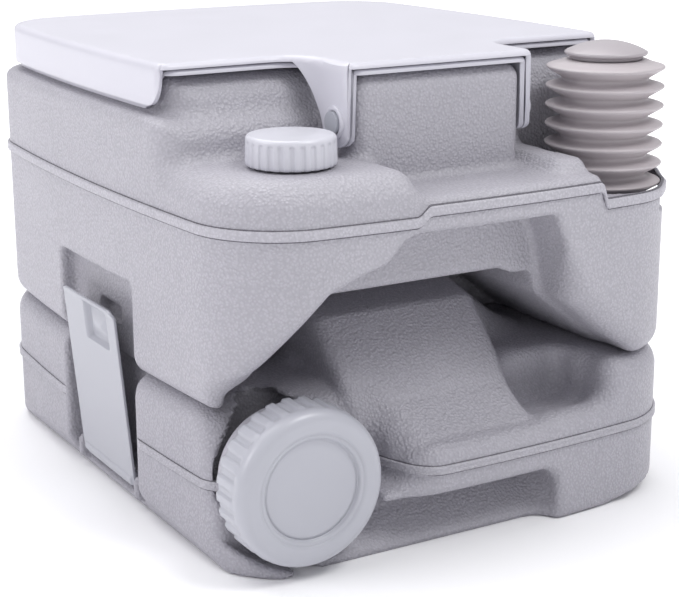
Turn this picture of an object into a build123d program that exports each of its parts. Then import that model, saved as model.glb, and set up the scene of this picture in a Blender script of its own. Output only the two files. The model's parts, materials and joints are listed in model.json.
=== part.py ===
from build123d import *
import os

# Portable camp toilet: a fresh-water tank with a built-in bowl, seat and lid, latched on top
# of a waste tank with a slide valve, a carry ledge and a screw-capped spout.
# Millimetres, +Z up. The service side (hinge, pump, filler, spout) faces -Y, the user's side +Y.
# The origin is the centre of the footprint, on the ground.

# ---- both tanks -------------------------------------------------------------------------
BODY_WIDTH = 345.0
BODY_DEPTH = 415.0
SIDE_BOW = 10.0
CORNER_RADIUS = 46.0
TANK_WALL = 3.0
SPLIT_Z = 97.0
BEAD_PROUD = 2.0
BEAD_HEIGHT = 3.0

# ---- waste tank -------------------------------------------------------------------------
FOOT_RADIUS = 13.0
WASTE_TOP_RADIUS = 12.0
WASTE_BEAD_Z = 52.0
LEDGE_Z = 70.0
LEDGE_UNDERSIDE_Z = 36.0
LEDGE_LEFT_X = -45.0
VALLEY_LEFT_X = -85.0
VALLEY_RIGHT_X = 100.0
VALLEY_LENGTH = 108.0
HUMP_LEFT_X = -75.0
HUMP_RIGHT_X = 50.0
HUMP_TOP_Z = 140.0
HUMP_NOSE_SETBACK = 18.0
HUMP_NOSE_RISE = 2.0
HUMP_ROOT = 12.0
HUMP_LOW_KNEE = (42.0, 0.45)
HUMP_HIGH_KNEE = (84.0, 0.9)
HUMP_BACK_LENGTH = 28.0
HUMP_BACK_RUN = 14.0
FINGER_RIGHT_X = 57.0
FINGER_DEPTH = 38.0
FINGER_SILL_DEPTH = 9.0
FINGER_SLOPE = 4.0
FINGER_UPRIGHT = 12.0

# ---- waste spout and its cap ------------------------------------------------------------
WASTE_CAP_RADIUS = 50.0
WASTE_CAP_DEPTH = 29.0
WASTE_CAP_WALL = 4.0
WASTE_CAP_SIDE_MARGIN = 1.0
WASTE_CAP_DISH_RADIUS = 33.0
WASTE_CAP_DISH_DEPTH = 3.0
WASTE_CAP_FOOT_GAP = 7.0
WASTE_CAP_RIM = 7.0
WASTE_CAP_GRIPS = 28
GRIP_RADIUS = 1.2
SPOUT_INNER_RADIUS = 36.0
SPOUT_WALL = 4.0
SPOUT_RECESS = 42.0
SCOOP_CLEARANCE = 4.0
SEAL_THICKNESS = 2.5
THREAD_CLEARANCE = 0.5
NECK_FLANGE = 5.0

# ---- slide valve ------------------------------------------------------------------------
PORT_RADIUS = 44.0
PORT_Y = 25.0
VALVE_WELL_DEPTH = 18.0
VALVE_HALF_WIDTH = 70.0
VALVE_END_MARGIN = 66.0
PLATE_THICKNESS = 4.0
BLADE_THICKNESS = 3.0
BLADE_OVERLAP = 8.0
BLADE_CLEARANCE = 0.4
BLADE_GARAGE_CLEARANCE = 2.0
RAIL_WIDTH = 9.0
STEM_HALF_WIDTH = 20.0
GRIP_HALF_WIDTH = 36.0
GRIP_LENGTH = 22.0
GRIP_HEIGHT = 13.0
GRIP_SETBACK = 5.0
GRIP_CORNER = 5.0
GRIP_EDGE = 2.0
LIP_SEAL_WIDTH = 7.0
SCREW_RADIUS = 2.0
SCREW_HEAD_RADIUS = 3.6
SCREW_HEAD_HEIGHT = 2.0
SCREW_LENGTH = 10.0

# ---- fresh-water tank -------------------------------------------------------------------
LOBE_RADIUS = 12.0
DECK_Z = 220.0
DECK_RADIUS = 9.0
FRESH_BEAD_Z = 207.0
SHOULDER_Z = 236.0
SHOULDER_RADIUS = 18.0
SHOULDER_RIGHT_X = -45.0
SIDE_WALL_Z = 262.0
RIM_Z = 284.0
ARCH_TOP_Z = 200.0
ARCH_DEPTH = 38.0
ARCH_TOP_HALF_WIDTH = 50.0
ARCH_FOOT_LEFT_X = -150.0
ARCH_FOOT_RIGHT_X = 100.0
ARCH_LEFT_KNEES = ((40.0, 40.0), (-12.0, 20.0))
ARCH_RIGHT_KNEE = (14.0, 40.0)
TUNNEL_TOP_Z = 156.0
TUNNEL_SIDE_CLEARANCE = 14.0
TUNNEL_BACK_CLEARANCE = 6.0
CAP_HEADROOM = 6.0
CAP_HEADROOM_DEPTH = 46.0
CAP_HEADROOM_RIGHT_X = -62.0

# ---- bowl -------------------------------------------------------------------------------
BOWL_HALF_WIDTH = 103.0
BOWL_HALF_LENGTH = 128.0
BOWL_Y = 42.0
BOWL_THROAT_Z = 122.0

# ---- hinge ------------------------------------------------------------------------------
HINGE_SETBACK = 67.5
HINGE_Z = 257.0
BLOCK_HALF_WIDTH = 60.0
BLOCK_FRONT = 13.0
BLOCK_RADIUS = 8.0
BLOCK_TOP_Z = 285.0
PIN_RADIUS = 4.0
PIN_CLEARANCE = 0.05
PIN_HEAD_RADIUS = 7.0
PIN_HEAD_THICKNESS = 2.5
PIN_SOCKET = 14.0
EAR_THICKNESS = 3.0
EAR_GAP = 1.0
EAR_NOSE_RADIUS = 15.0
EAR_NOSE_SHARE = 0.97
EAR_LEAN = 1.5

# ---- lid and seat -----------------------------------------------------------------------
LID_TOP_Z = 293.5
LID_INSET = 7.5
LID_WALL = 3.0
LID_SKIRT_Z = 267.5
LID_SIDE_STEP = 3.0
LID_SKIRT_STEP = 16.5
TONGUE_FRONT = 15.0
SEAT_GAP = 1.0
SEAT_SKIRT_Z = 264.0
SEAT_BODY_GAP = 1.5
SEAT_HOLE_MARGIN = 4.0
TONGUE_CLEARANCE = 0.5
BUMPER_RADIUS = 6.0
BUMPER_X = 118.0
BUMPER_NEAR_Y = -70.0
BUMPER_FAR_Y = 140.0

# ---- filler -----------------------------------------------------------------------------
FILLER_SIDE = 69.5
FILLER_SETBACK = 57.5
FILLER_CAP_RADIUS = 27.0
FILLER_CAP_TOP_Z = 256.0
FILLER_CAP_GAP = 1.5
FILLER_CAP_WALL = 3.0
FILLER_CAP_EDGE = 2.0
FILLER_CAP_RIM = 2.0
FILLER_BORE_RADIUS = 16.0
FILLER_NECK_WALL = 3.5
FILLER_SEAL_THICKNESS = 2.0
FILLER_GRIPS = 24

# ---- bellows pump -----------------------------------------------------------------------
PUMP_SETBACK = 57.5
PUMP_CORNER_Z = 204.0
PUMP_CORNER_STEP = 1.0
PUMP_CORNER_MARGIN = 6.5
PUMP_SEAT_BODY_GAP = 2.5
PUMP_WELL_Z = 190.0
PUMP_WELL_CLEARANCE = 4.5
BELLOWS_RADIUS = 38.0
BELLOWS_FOLD = 8.0
BELLOWS_WALL = 1.5
BELLOWS_PITCH = 12.3
BELLOWS_CONVOLUTIONS = 7
BELLOWS_LIFT = 7.0
PUMP_CAP_RADIUS = 26.5
PUMP_CAP_TOP_Z = 295.0
PUMP_CAP_HEIGHT = 9.0
PUMP_HOLE_RADIUS = 17.0
COLLAR_FLANGE_MARGIN = 2.0
COLLAR_FLANGE_THICKNESS = 3.0
PICKUP_RADIUS = 6.0
PICKUP_BORE_RADIUS = 4.0
PICKUP_GAP = 6.0
VALVE_HOUSING_RADIUS = 12.0
VALVE_HOUSING_LENGTH = 26.0
HOSE_RADIUS = 5.0
HOSE_BORE_RADIUS = 3.5
HOSE_Z = 178.0
HOSE_BEND_RADIUS = 26.0
BARB_LENGTH = 12.0
NOZZLE_LENGTH = 16.0
NOZZLE_WALL = 1.0
NOZZLE_Z = 262.0

# ---- side latches -----------------------------------------------------------------------
LATCH_Y = -7.0
LATCH_WIDTH = 85.0
LATCH_CORNER = 5.0
LATCH_GROOVE_MARGIN = 15.5
LATCH_PIVOT_INSET = 9.0
LATCH_PIVOT_Z = 18.0
LATCH_KNUCKLE_RADIUS = 5.0
LATCH_THICKNESS = 3.0
LATCH_TOP_Z = 134.0
LATCH_REST_ANGLE = 5.0
LATCH_PIN_RADIUS = 2.5
LATCH_LUG_WIDTH = 6.0
LATCH_SIDE_CLEARANCE = 1.5
LATCH_GROOVE_DEPTH = 16.0
LATCH_GROOVE_FOOT_Z = 8.0
LATCH_POCKET_DEPTH = 12.0
LATCH_POCKET_TOP_Z = 155.0
HOOK_Z = 120.0
HOOK_HEIGHT = 6.0
HOOK_WIDTH = 30.0
HOOK_REACH = 8.5
HOOK_CLEARANCE = 1.5

# ---- places that follow from the sizes above --------------------------------------------
LEFT = -BODY_WIDTH / 2
RIGHT = BODY_WIDTH / 2
NEAR = -BODY_DEPTH / 2
FAR = BODY_DEPTH / 2
BIG = 2 * (BODY_WIDTH + BODY_DEPTH)
PAST = 1.0
NOZZLE_RADIUS = HOSE_BORE_RADIUS + NOZZLE_WALL

BELLOWS_ROOT_RADIUS = BELLOWS_RADIUS - BELLOWS_FOLD
BELLOWS_BASE_Z = PUMP_WELL_Z + BELLOWS_LIFT
PUMP_WELL_RADIUS = BELLOWS_RADIUS + PUMP_WELL_CLEARANCE
PUMP_X = RIGHT - BELLOWS_RADIUS - PUMP_CORNER_MARGIN
PUMP_Y = NEAR + PUMP_SETBACK
PUMP_CORNER_X = PUMP_X - PUMP_WELL_RADIUS + PUMP_CORNER_STEP
PUMP_CORNER_Y = PUMP_Y + BELLOWS_RADIUS + PUMP_CORNER_MARGIN
BELLOWS_TOP_Z = BELLOWS_BASE_Z + BELLOWS_CONVOLUTIONS * BELLOWS_PITCH

HINGE_Y = NEAR + HINGE_SETBACK
SEAT_BODY_Y = PUMP_CORNER_Y + PUMP_SEAT_BODY_GAP
LID_SIDE_Y = SEAT_BODY_Y + LID_SIDE_STEP
SEAT_TOP_Z = LID_TOP_Z - LID_WALL - SEAT_GAP
SEAT_INSET = LID_INSET + LID_WALL + SEAT_GAP
RIM_INSET = SEAT_INSET + LID_WALL + SEAT_BODY_GAP
SEAT_EAR_X = BLOCK_HALF_WIDTH + EAR_GAP
LID_EAR_X = SEAT_EAR_X + EAR_THICKNESS + EAR_GAP

FILLER_X = LEFT + FILLER_SIDE
FILLER_Y = NEAR + FILLER_SETBACK
NECK_TOP_Z = FILLER_CAP_TOP_Z - FILLER_CAP_WALL - FILLER_SEAL_THICKNESS
NECK_RADIUS = FILLER_BORE_RADIUS + FILLER_NECK_WALL

WASTE_CAP_X = LEFT + WASTE_CAP_SIDE_MARGIN + WASTE_CAP_RADIUS
WASTE_CAP_Z = WASTE_CAP_FOOT_GAP + WASTE_CAP_RADIUS
CAP_HEADROOM_Z = WASTE_CAP_Z + WASTE_CAP_RADIUS + CAP_HEADROOM
SPOUT_FACE_Y = NEAR + SPOUT_RECESS
SPOUT_OUTER_RADIUS = SPOUT_INNER_RADIUS + SPOUT_WALL
SPOUT_END_Y = NEAR + WASTE_CAP_WALL + WASTE_CAP_DISH_DEPTH + SEAL_THICKNESS

WELL_FLOOR_Z = SPLIT_Z - VALVE_WELL_DEPTH
BLADE_Z = WELL_FLOOR_Z + PLATE_THICKNESS + BLADE_CLEARANCE
COVER_Z = BLADE_Z + BLADE_THICKNESS + BLADE_CLEARANCE
BLADE_HALF_WIDTH = PORT_RADIUS + BLADE_OVERLAP
BLADE_BACK_Y = PORT_Y - BLADE_HALF_WIDTH
BLADE_TRAVEL = 2 * PORT_RADIUS + BLADE_OVERLAP + BLADE_GARAGE_CLEARANCE
VALVE_BACK_Y = PORT_Y - VALVE_END_MARGIN
VALVE_FRONT_Y = PORT_Y + VALVE_END_MARGIN

HUMP_BACK_Y = NEAR + VALLEY_LENGTH + HUMP_BACK_LENGTH + HUMP_BACK_RUN
TUNNEL_BACK_Y = HUMP_BACK_Y + TUNNEL_BACK_CLEARANCE

LATCH_PIVOT_X = LEFT + LATCH_PIVOT_INSET
LATCH_GROOVE_HALF = LATCH_WIDTH / 2 + LATCH_GROOVE_MARGIN


def box(x0, x1, y0, y1, z0, z1):
    """A box between two corners."""
    size = Box(x1 - x0, y1 - y0, z1 - z0, align=(Align.MIN, Align.MIN, Align.MIN))
    return Pos(x0, y0, z0) * size


def cylinder(x, y, z0, z1, radius):
    """An upright cylinder between two heights."""
    return Pos(x, y, z0) * Cylinder(radius, z1 - z0, align=(Align.CENTER, Align.CENTER, Align.MIN))


def cylinder_y(x, z, y0, y1, radius):
    """A cylinder along Y between two places."""
    rod = Cylinder(radius, y1 - y0, align=(Align.CENTER, Align.CENTER, Align.MAX))
    return Pos(x, y0, z) * Rot(90, 0, 0) * rod


def cylinder_x(x0, x1, y, z, radius):
    """A cylinder along X between two places."""
    rod = Cylinder(radius, x1 - x0, align=(Align.CENTER, Align.CENTER, Align.MIN))
    return Pos(x0, y, z) * Rot(0, 90, 0) * rod


def prism_x(points, x0, x1, grow=0.0):
    """A (y, z) outline, moved out by grow, carried along X."""
    face = make_face(Polyline(*points, close=True))
    if grow:
        face = offset(face, grow, kind=Kind.INTERSECTION)
    return extrude(Plane.YZ.offset(x0) * face, x1 - x0)


def prism_y(points, y0, y1, grow=0.0):
    """An (x, z) outline, moved out by grow, carried along Y."""
    face = make_face(Polyline(*points, close=True))
    if grow:
        face = offset(face, grow, kind=Kind.INTERSECTION)
    plane = Plane(origin=(0, y0, 0), x_dir=(1, 0, 0), z_dir=(0, -1, 0))
    return extrude(plane * face, -(y1 - y0))


def outline(inset):
    """Plan of the body: four gently bowed sides with round corners, moved in by inset."""
    x, y = RIGHT - inset, FAR - inset
    cx, cy = x - SIDE_BOW, y - SIDE_BOW
    sides = [
        ThreePointArc((-cx, -cy), (0, -y), (cx, -cy)),
        ThreePointArc((cx, -cy), (x, 0), (cx, cy)),
        ThreePointArc((cx, cy), (0, y), (-cx, cy)),
        ThreePointArc((-cx, cy), (-x, 0), (-cx, -cy)),
    ]
    face = make_face(sides)
    return fillet(face.vertices(), CORNER_RADIUS - inset)


def body_block(inset, z0, z1, low_radius=0.0, high_radius=0.0):
    """A block with the body's plan, and rounded lower and upper edges."""
    block = Pos(0, 0, z0) * extrude(outline(inset), z1 - z0)
    if low_radius:
        block = fillet(block.faces().sort_by(Axis.Z)[0].edges(), low_radius)
    if high_radius:
        block = fillet(block.faces().sort_by(Axis.Z)[-1].edges(), high_radius)
    return block


def both_sides(solid):
    """A left-hand solid and its mirror image on the right."""
    return [solid, mirror(solid, about=Plane.YZ)]


def latch_recess(inset, depth, z0, z1):
    """The upright groove for a latch, in both side walls."""
    half = LATCH_GROOVE_HALF + inset
    left = box(LEFT - BIG, LEFT + depth + inset, LATCH_Y - half, LATCH_Y + half, z0 - inset, z1 + inset)
    return both_sides(left)


# ---- waste tank -------------------------------------------------------------------------
def waste_form(inset):
    """The waste tank's outside, or with inset its inside."""
    form = body_block(
        inset, inset, SPLIT_Z - inset, FOOT_RADIUS - inset, WASTE_TOP_RADIUS - inset
    )
    valley = [
        (NEAR - BIG, LEDGE_Z),
        (NEAR + VALLEY_LENGTH, LEDGE_Z),
        (NEAR + VALLEY_LENGTH + SPLIT_Z - LEDGE_Z, SPLIT_Z + TANK_WALL),
        (NEAR + VALLEY_LENGTH + SPLIT_Z - LEDGE_Z, BIG),
        (NEAR - BIG, BIG),
    ]
    form -= prism_x(valley, VALLEY_LEFT_X - inset, VALLEY_RIGHT_X + inset, inset)
    rise = HUMP_TOP_Z - LEDGE_Z
    hump_back = NEAR + VALLEY_LENGTH + HUMP_BACK_LENGTH
    hump = [
        (NEAR + HUMP_NOSE_SETBACK, LEDGE_Z - HUMP_ROOT),
        (NEAR + HUMP_NOSE_SETBACK, LEDGE_Z + HUMP_NOSE_RISE),
        (NEAR + HUMP_LOW_KNEE[0], LEDGE_Z + HUMP_LOW_KNEE[1] * rise),
        (NEAR + HUMP_HIGH_KNEE[0], LEDGE_Z + HUMP_HIGH_KNEE[1] * rise),
        (NEAR + VALLEY_LENGTH, HUMP_TOP_Z),
        (hump_back, HUMP_TOP_Z),
        (HUMP_BACK_Y, SPLIT_Z - WASTE_TOP_RADIUS),
        (HUMP_BACK_Y, LEDGE_Z - HUMP_ROOT),
    ]
    form += prism_x(hump, HUMP_LEFT_X + inset, HUMP_RIGHT_X - inset, -inset)
    scoop_radius = WASTE_CAP_RADIUS + SCOOP_CLEARANCE + inset
    form -= cylinder_y(WASTE_CAP_X, WASTE_CAP_Z, NEAR - BIG, SPOUT_FACE_Y + inset, scoop_radius)
    form -= box(
        LEFT - BIG, LEDGE_LEFT_X + inset, NEAR - BIG, SPOUT_FACE_Y + inset, WASTE_CAP_Z - inset, BIG
    )
    finger = [
        (NEAR - BIG, LEDGE_UNDERSIDE_Z),
        (NEAR + FINGER_DEPTH, LEDGE_UNDERSIDE_Z),
        (NEAR + FINGER_DEPTH - FINGER_SLOPE, LEDGE_UNDERSIDE_Z - FINGER_UPRIGHT),
        (NEAR + FINGER_SILL_DEPTH, 0),
        (NEAR + FINGER_SILL_DEPTH, -BIG),
        (NEAR - BIG, -BIG),
    ]
    form -= prism_x(finger, WASTE_CAP_X - inset, FINGER_RIGHT_X + inset, inset)
    form -= box(
        -VALVE_HALF_WIDTH - inset,
        VALVE_HALF_WIDTH + inset,
        VALVE_BACK_Y - inset,
        VALVE_FRONT_Y + inset,
        WELL_FLOOR_Z - inset,
        BIG,
    )
    garage = BLADE_HALF_WIDTH + BLADE_GARAGE_CLEARANCE + inset
    garage_end = PORT_Y + BLADE_HALF_WIDTH + BLADE_TRAVEL + BLADE_GARAGE_CLEARANCE + inset
    form -= box(-garage, garage, PORT_Y, garage_end, WELL_FLOOR_Z - inset, BIG)
    channel = GRIP_HALF_WIDTH + GRIP_SETBACK + inset
    form -= box(-channel, channel, PORT_Y, BIG, WELL_FLOOR_Z - inset, BIG)
    form -= latch_recess(inset, LATCH_GROOVE_DEPTH, LATCH_GROOVE_FOOT_Z, SPLIT_Z + TANK_WALL)
    return form


def halves(tank, z):
    """The two mouldings that are welded together along a bead: below it and above it."""
    below = tank & box(-BIG, BIG, -BIG, BIG, -BIG, z)
    above = tank & box(-BIG, BIG, -BIG, BIG, z, BIG)
    return below, above


def bead(z):
    """The parting bead: a thin band a little proud of the wall."""
    band = Pos(0, 0, z - BEAD_HEIGHT / 2) * extrude(outline(-BEAD_PROUD), BEAD_HEIGHT)
    core = Pos(0, 0, z - BEAD_HEIGHT) * extrude(outline(TANK_WALL / 2), 2 * BEAD_HEIGHT)
    return band - core


def latch_lugs():
    """Two lugs in each waste-tank groove, bored for the latch pin."""
    inner = LATCH_WIDTH / 2 + LATCH_SIDE_CLEARANCE
    lugs = []
    for y0 in (LATCH_Y - inner - LATCH_LUG_WIDTH, LATCH_Y + inner):
        lug = box(
            LATCH_PIVOT_X - LATCH_KNUCKLE_RADIUS,
            LEFT + LATCH_GROOVE_DEPTH + TANK_WALL / 2,
            y0,
            y0 + LATCH_LUG_WIDTH,
            LATCH_GROOVE_FOOT_Z - TANK_WALL / 2,
            LATCH_PIVOT_Z + LATCH_KNUCKLE_RADIUS,
        )
        lugs.append(lug - latch_pin())
    return lugs


def latch_pin():
    """The left latch's hinge pin, held by both lugs."""
    half = LATCH_WIDTH / 2 + LATCH_SIDE_CLEARANCE + LATCH_LUG_WIDTH
    return cylinder_y(LATCH_PIVOT_X, LATCH_PIVOT_Z, LATCH_Y - half, LATCH_Y + half, LATCH_PIN_RADIUS)


def waste_tank_halves():
    tank = waste_form(0) - waste_form(TANK_WALL)
    ring = bead(WASTE_BEAD_Z)
    ring -= latch_recess(0, LATCH_GROOVE_DEPTH, 0, SPLIT_Z)
    ring -= box(LEFT - BIG, LEDGE_LEFT_X, NEAR - BIG, SPOUT_FACE_Y, 0, SPLIT_Z)
    tank += ring.solids().sort_by(SortBy.VOLUME)
    tank -= cylinder_y(
        WASTE_CAP_X, WASTE_CAP_Z, SPOUT_END_Y, SPOUT_FACE_Y + 2 * TANK_WALL, SPOUT_OUTER_RADIUS
    )
    tank -= cylinder(0, PORT_Y, WELL_FLOOR_Z - 2 * TANK_WALL, BIG, PORT_RADIUS)
    for lug in latch_lugs():
        tank += both_sides(lug)
    for x, y in valve_screw_places():
        tank += cylinder(x, y, WELL_FLOOR_Z - SCREW_LENGTH, WELL_FLOOR_Z - TANK_WALL / 2, 2 * SCREW_RADIUS)
        tank -= cylinder(x, y, WELL_FLOOR_Z - SCREW_LENGTH, WELL_FLOOR_Z + TANK_WALL, SCREW_RADIUS)
    return halves(tank, WASTE_BEAD_Z)


def waste_spout():
    """The pouring neck, welded into the recess face."""
    y_end = SPOUT_FACE_Y + TANK_WALL
    neck = cylinder_y(WASTE_CAP_X, WASTE_CAP_Z, SPOUT_END_Y, y_end, SPOUT_OUTER_RADIUS)
    return neck - cylinder_y(WASTE_CAP_X, WASTE_CAP_Z, NEAR, FAR, SPOUT_INNER_RADIUS)


# ---- waste cap --------------------------------------------------------------------------
def waste_cap():
    """A dished screw cap with a grooved grip skirt, facing -Y."""
    y_face, y_back = NEAR, NEAR + WASTE_CAP_DEPTH
    cap = cylinder_y(WASTE_CAP_X, WASTE_CAP_Z, y_face, y_back, WASTE_CAP_RADIUS)
    cap = fillet(cap.faces().sort_by(Axis.Y)[0].edges(), 5)
    cap -= cylinder_y(
        WASTE_CAP_X, WASTE_CAP_Z, y_face - PAST, y_face + WASTE_CAP_DISH_DEPTH, WASTE_CAP_DISH_RADIUS
    )
    cap -= cylinder_y(
        WASTE_CAP_X,
        WASTE_CAP_Z,
        y_face + WASTE_CAP_WALL + WASTE_CAP_DISH_DEPTH,
        y_back + PAST,
        SPOUT_OUTER_RADIUS + THREAD_CLEARANCE,
    )
    grip = cylinder_y(
        WASTE_CAP_X, WASTE_CAP_Z + WASTE_CAP_RADIUS, y_face + WASTE_CAP_RIM, y_back + PAST, GRIP_RADIUS
    )
    axis = Axis((WASTE_CAP_X, 0, WASTE_CAP_Z), (0, 1, 0))
    grips = [grip.rotate(axis, 360 * i / WASTE_CAP_GRIPS) for i in range(WASTE_CAP_GRIPS)]
    return cap - grips


def waste_cap_seal():
    """A flat rubber ring squeezed between the cap and the spout's end."""
    y0 = NEAR + WASTE_CAP_WALL + WASTE_CAP_DISH_DEPTH
    ring = cylinder_y(WASTE_CAP_X, WASTE_CAP_Z, y0, SPOUT_END_Y, SPOUT_OUTER_RADIUS)
    return ring - cylinder_y(WASTE_CAP_X, WASTE_CAP_Z, y0 - PAST, SPOUT_END_Y + PAST, SPOUT_INNER_RADIUS)


# ---- slide valve ------------------------------------------------------------------------
def valve_screw_places():
    """Three screws along each long side of the valve, clear of the blade."""
    x = VALVE_HALF_WIDTH - RAIL_WIDTH / 2
    ys = (VALVE_BACK_Y + RAIL_WIDTH, PORT_Y, VALVE_FRONT_Y - RAIL_WIDTH)
    return [(side * x, y) for side in (-1, 1) for y in ys]


def valve_plate(z0, z1):
    """A rectangular plate with the port through it."""
    margin = 1.0
    plate = box(
        -VALVE_HALF_WIDTH + margin,
        VALVE_HALF_WIDTH - margin,
        VALVE_BACK_Y + margin,
        VALVE_FRONT_Y - margin,
        z0,
        z1,
    )
    return plate - cylinder(0, PORT_Y, z0 - PAST, z1 + PAST, PORT_RADIUS)


def valve_base():
    """Lower plate with a rail down each side that guides the blade."""
    base = valve_plate(WELL_FLOOR_Z, WELL_FLOOR_Z + PLATE_THICKNESS)
    rails = valve_plate(WELL_FLOOR_Z + PLATE_THICKNESS, COVER_Z)
    slot = BLADE_HALF_WIDTH + BLADE_CLEARANCE
    rails -= box(-slot, slot, NEAR, FAR, WELL_FLOOR_Z, COVER_Z + PAST)
    base += rails.solids()
    for x, y in valve_screw_places():
        base -= cylinder(x, y, WELL_FLOOR_Z - PAST, COVER_Z + PAST, SCREW_RADIUS)
    return base


def valve_cover():
    """Upper plate, with the lip seal's groove round the port."""
    cover = valve_plate(COVER_Z, COVER_Z + PLATE_THICKNESS)
    groove = cylinder(0, PORT_Y, COVER_Z + PLATE_THICKNESS / 2, BIG, PORT_RADIUS + LIP_SEAL_WIDTH)
    cover -= groove
    for x, y in valve_screw_places():
        cover -= cylinder(x, y, COVER_Z - PAST, BIG, SCREW_RADIUS)
    return cover


def valve_lip_seal():
    """Rubber ring between the cover and the bowl's outlet."""
    z0, z1 = COVER_Z + PLATE_THICKNESS / 2, SPLIT_Z
    ring = cylinder(0, PORT_Y, z0, z1, PORT_RADIUS + LIP_SEAL_WIDTH)
    return ring - cylinder(0, PORT_Y, z0 - PAST, z1 + PAST, PORT_RADIUS)


def valve_blade():
    """The sliding plate that shuts the port, with its stem."""
    blade = box(
        -BLADE_HALF_WIDTH, BLADE_HALF_WIDTH, BLADE_BACK_Y, PORT_Y + BLADE_HALF_WIDTH, BLADE_Z,
        BLADE_Z + BLADE_THICKNESS,
    )
    stem_end = FAR - GRIP_SETBACK - GRIP_LENGTH / 2
    blade += box(
        -STEM_HALF_WIDTH, STEM_HALF_WIDTH, PORT_Y, stem_end, BLADE_Z, BLADE_Z + BLADE_THICKNESS
    )
    return blade


def valve_handle():
    """Pull grip clipped on the stem, with a finger slot."""
    y1 = FAR - GRIP_SETBACK
    z0 = WELL_FLOOR_Z + (SPLIT_Z - WELL_FLOOR_Z - GRIP_HEIGHT) / 2
    grip = box(-GRIP_HALF_WIDTH, GRIP_HALF_WIDTH, y1 - GRIP_LENGTH, y1, z0, z0 + GRIP_HEIGHT)
    grip = fillet(grip.edges().filter_by(Axis.Z), GRIP_CORNER)
    grip = fillet(grip.faces().sort_by(Axis.Y)[-1].edges().filter_by(Axis.X), GRIP_EDGE)
    return grip - valve_blade()


def valve_screws():
    """Six pan-head screws through cover and base into the tank."""
    screws = []
    head_z = COVER_Z + PLATE_THICKNESS
    for x, y in valve_screw_places():
        shank = cylinder(x, y, WELL_FLOOR_Z - SCREW_LENGTH + TANK_WALL, head_z, SCREW_RADIUS)
        head = cylinder(x, y, head_z, head_z + SCREW_HEAD_HEIGHT, SCREW_HEAD_RADIUS)
        screws.append(shank + head)
    return Compound(children=screws)


# ---- fresh-water tank -------------------------------------------------------------------
def bowl(inset):
    """The bowl's inside, grown by inset for its outside: oval mouth to round throat."""
    mouth = Pos(0, BOWL_Y, RIM_Z) * Ellipse(BOWL_HALF_WIDTH + inset, BOWL_HALF_LENGTH + inset)
    throat = Pos(0, PORT_Y, BOWL_THROAT_Z) * Circle(PORT_RADIUS + inset)
    funnel = loft([throat, mouth])
    funnel += cylinder(0, PORT_Y, 0, BOWL_THROAT_Z, PORT_RADIUS + inset)
    funnel += extrude(mouth, BIG / 4)
    return funnel


def bowl_liner():
    """The bowl's wall, from the tank's floor up to its rim."""
    slab = box(-BIG, BIG, -BIG, BIG, SPLIT_Z, RIM_Z)
    return (bowl(TANK_WALL) & slab) - bowl(0) - nozzle_bore()


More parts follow.
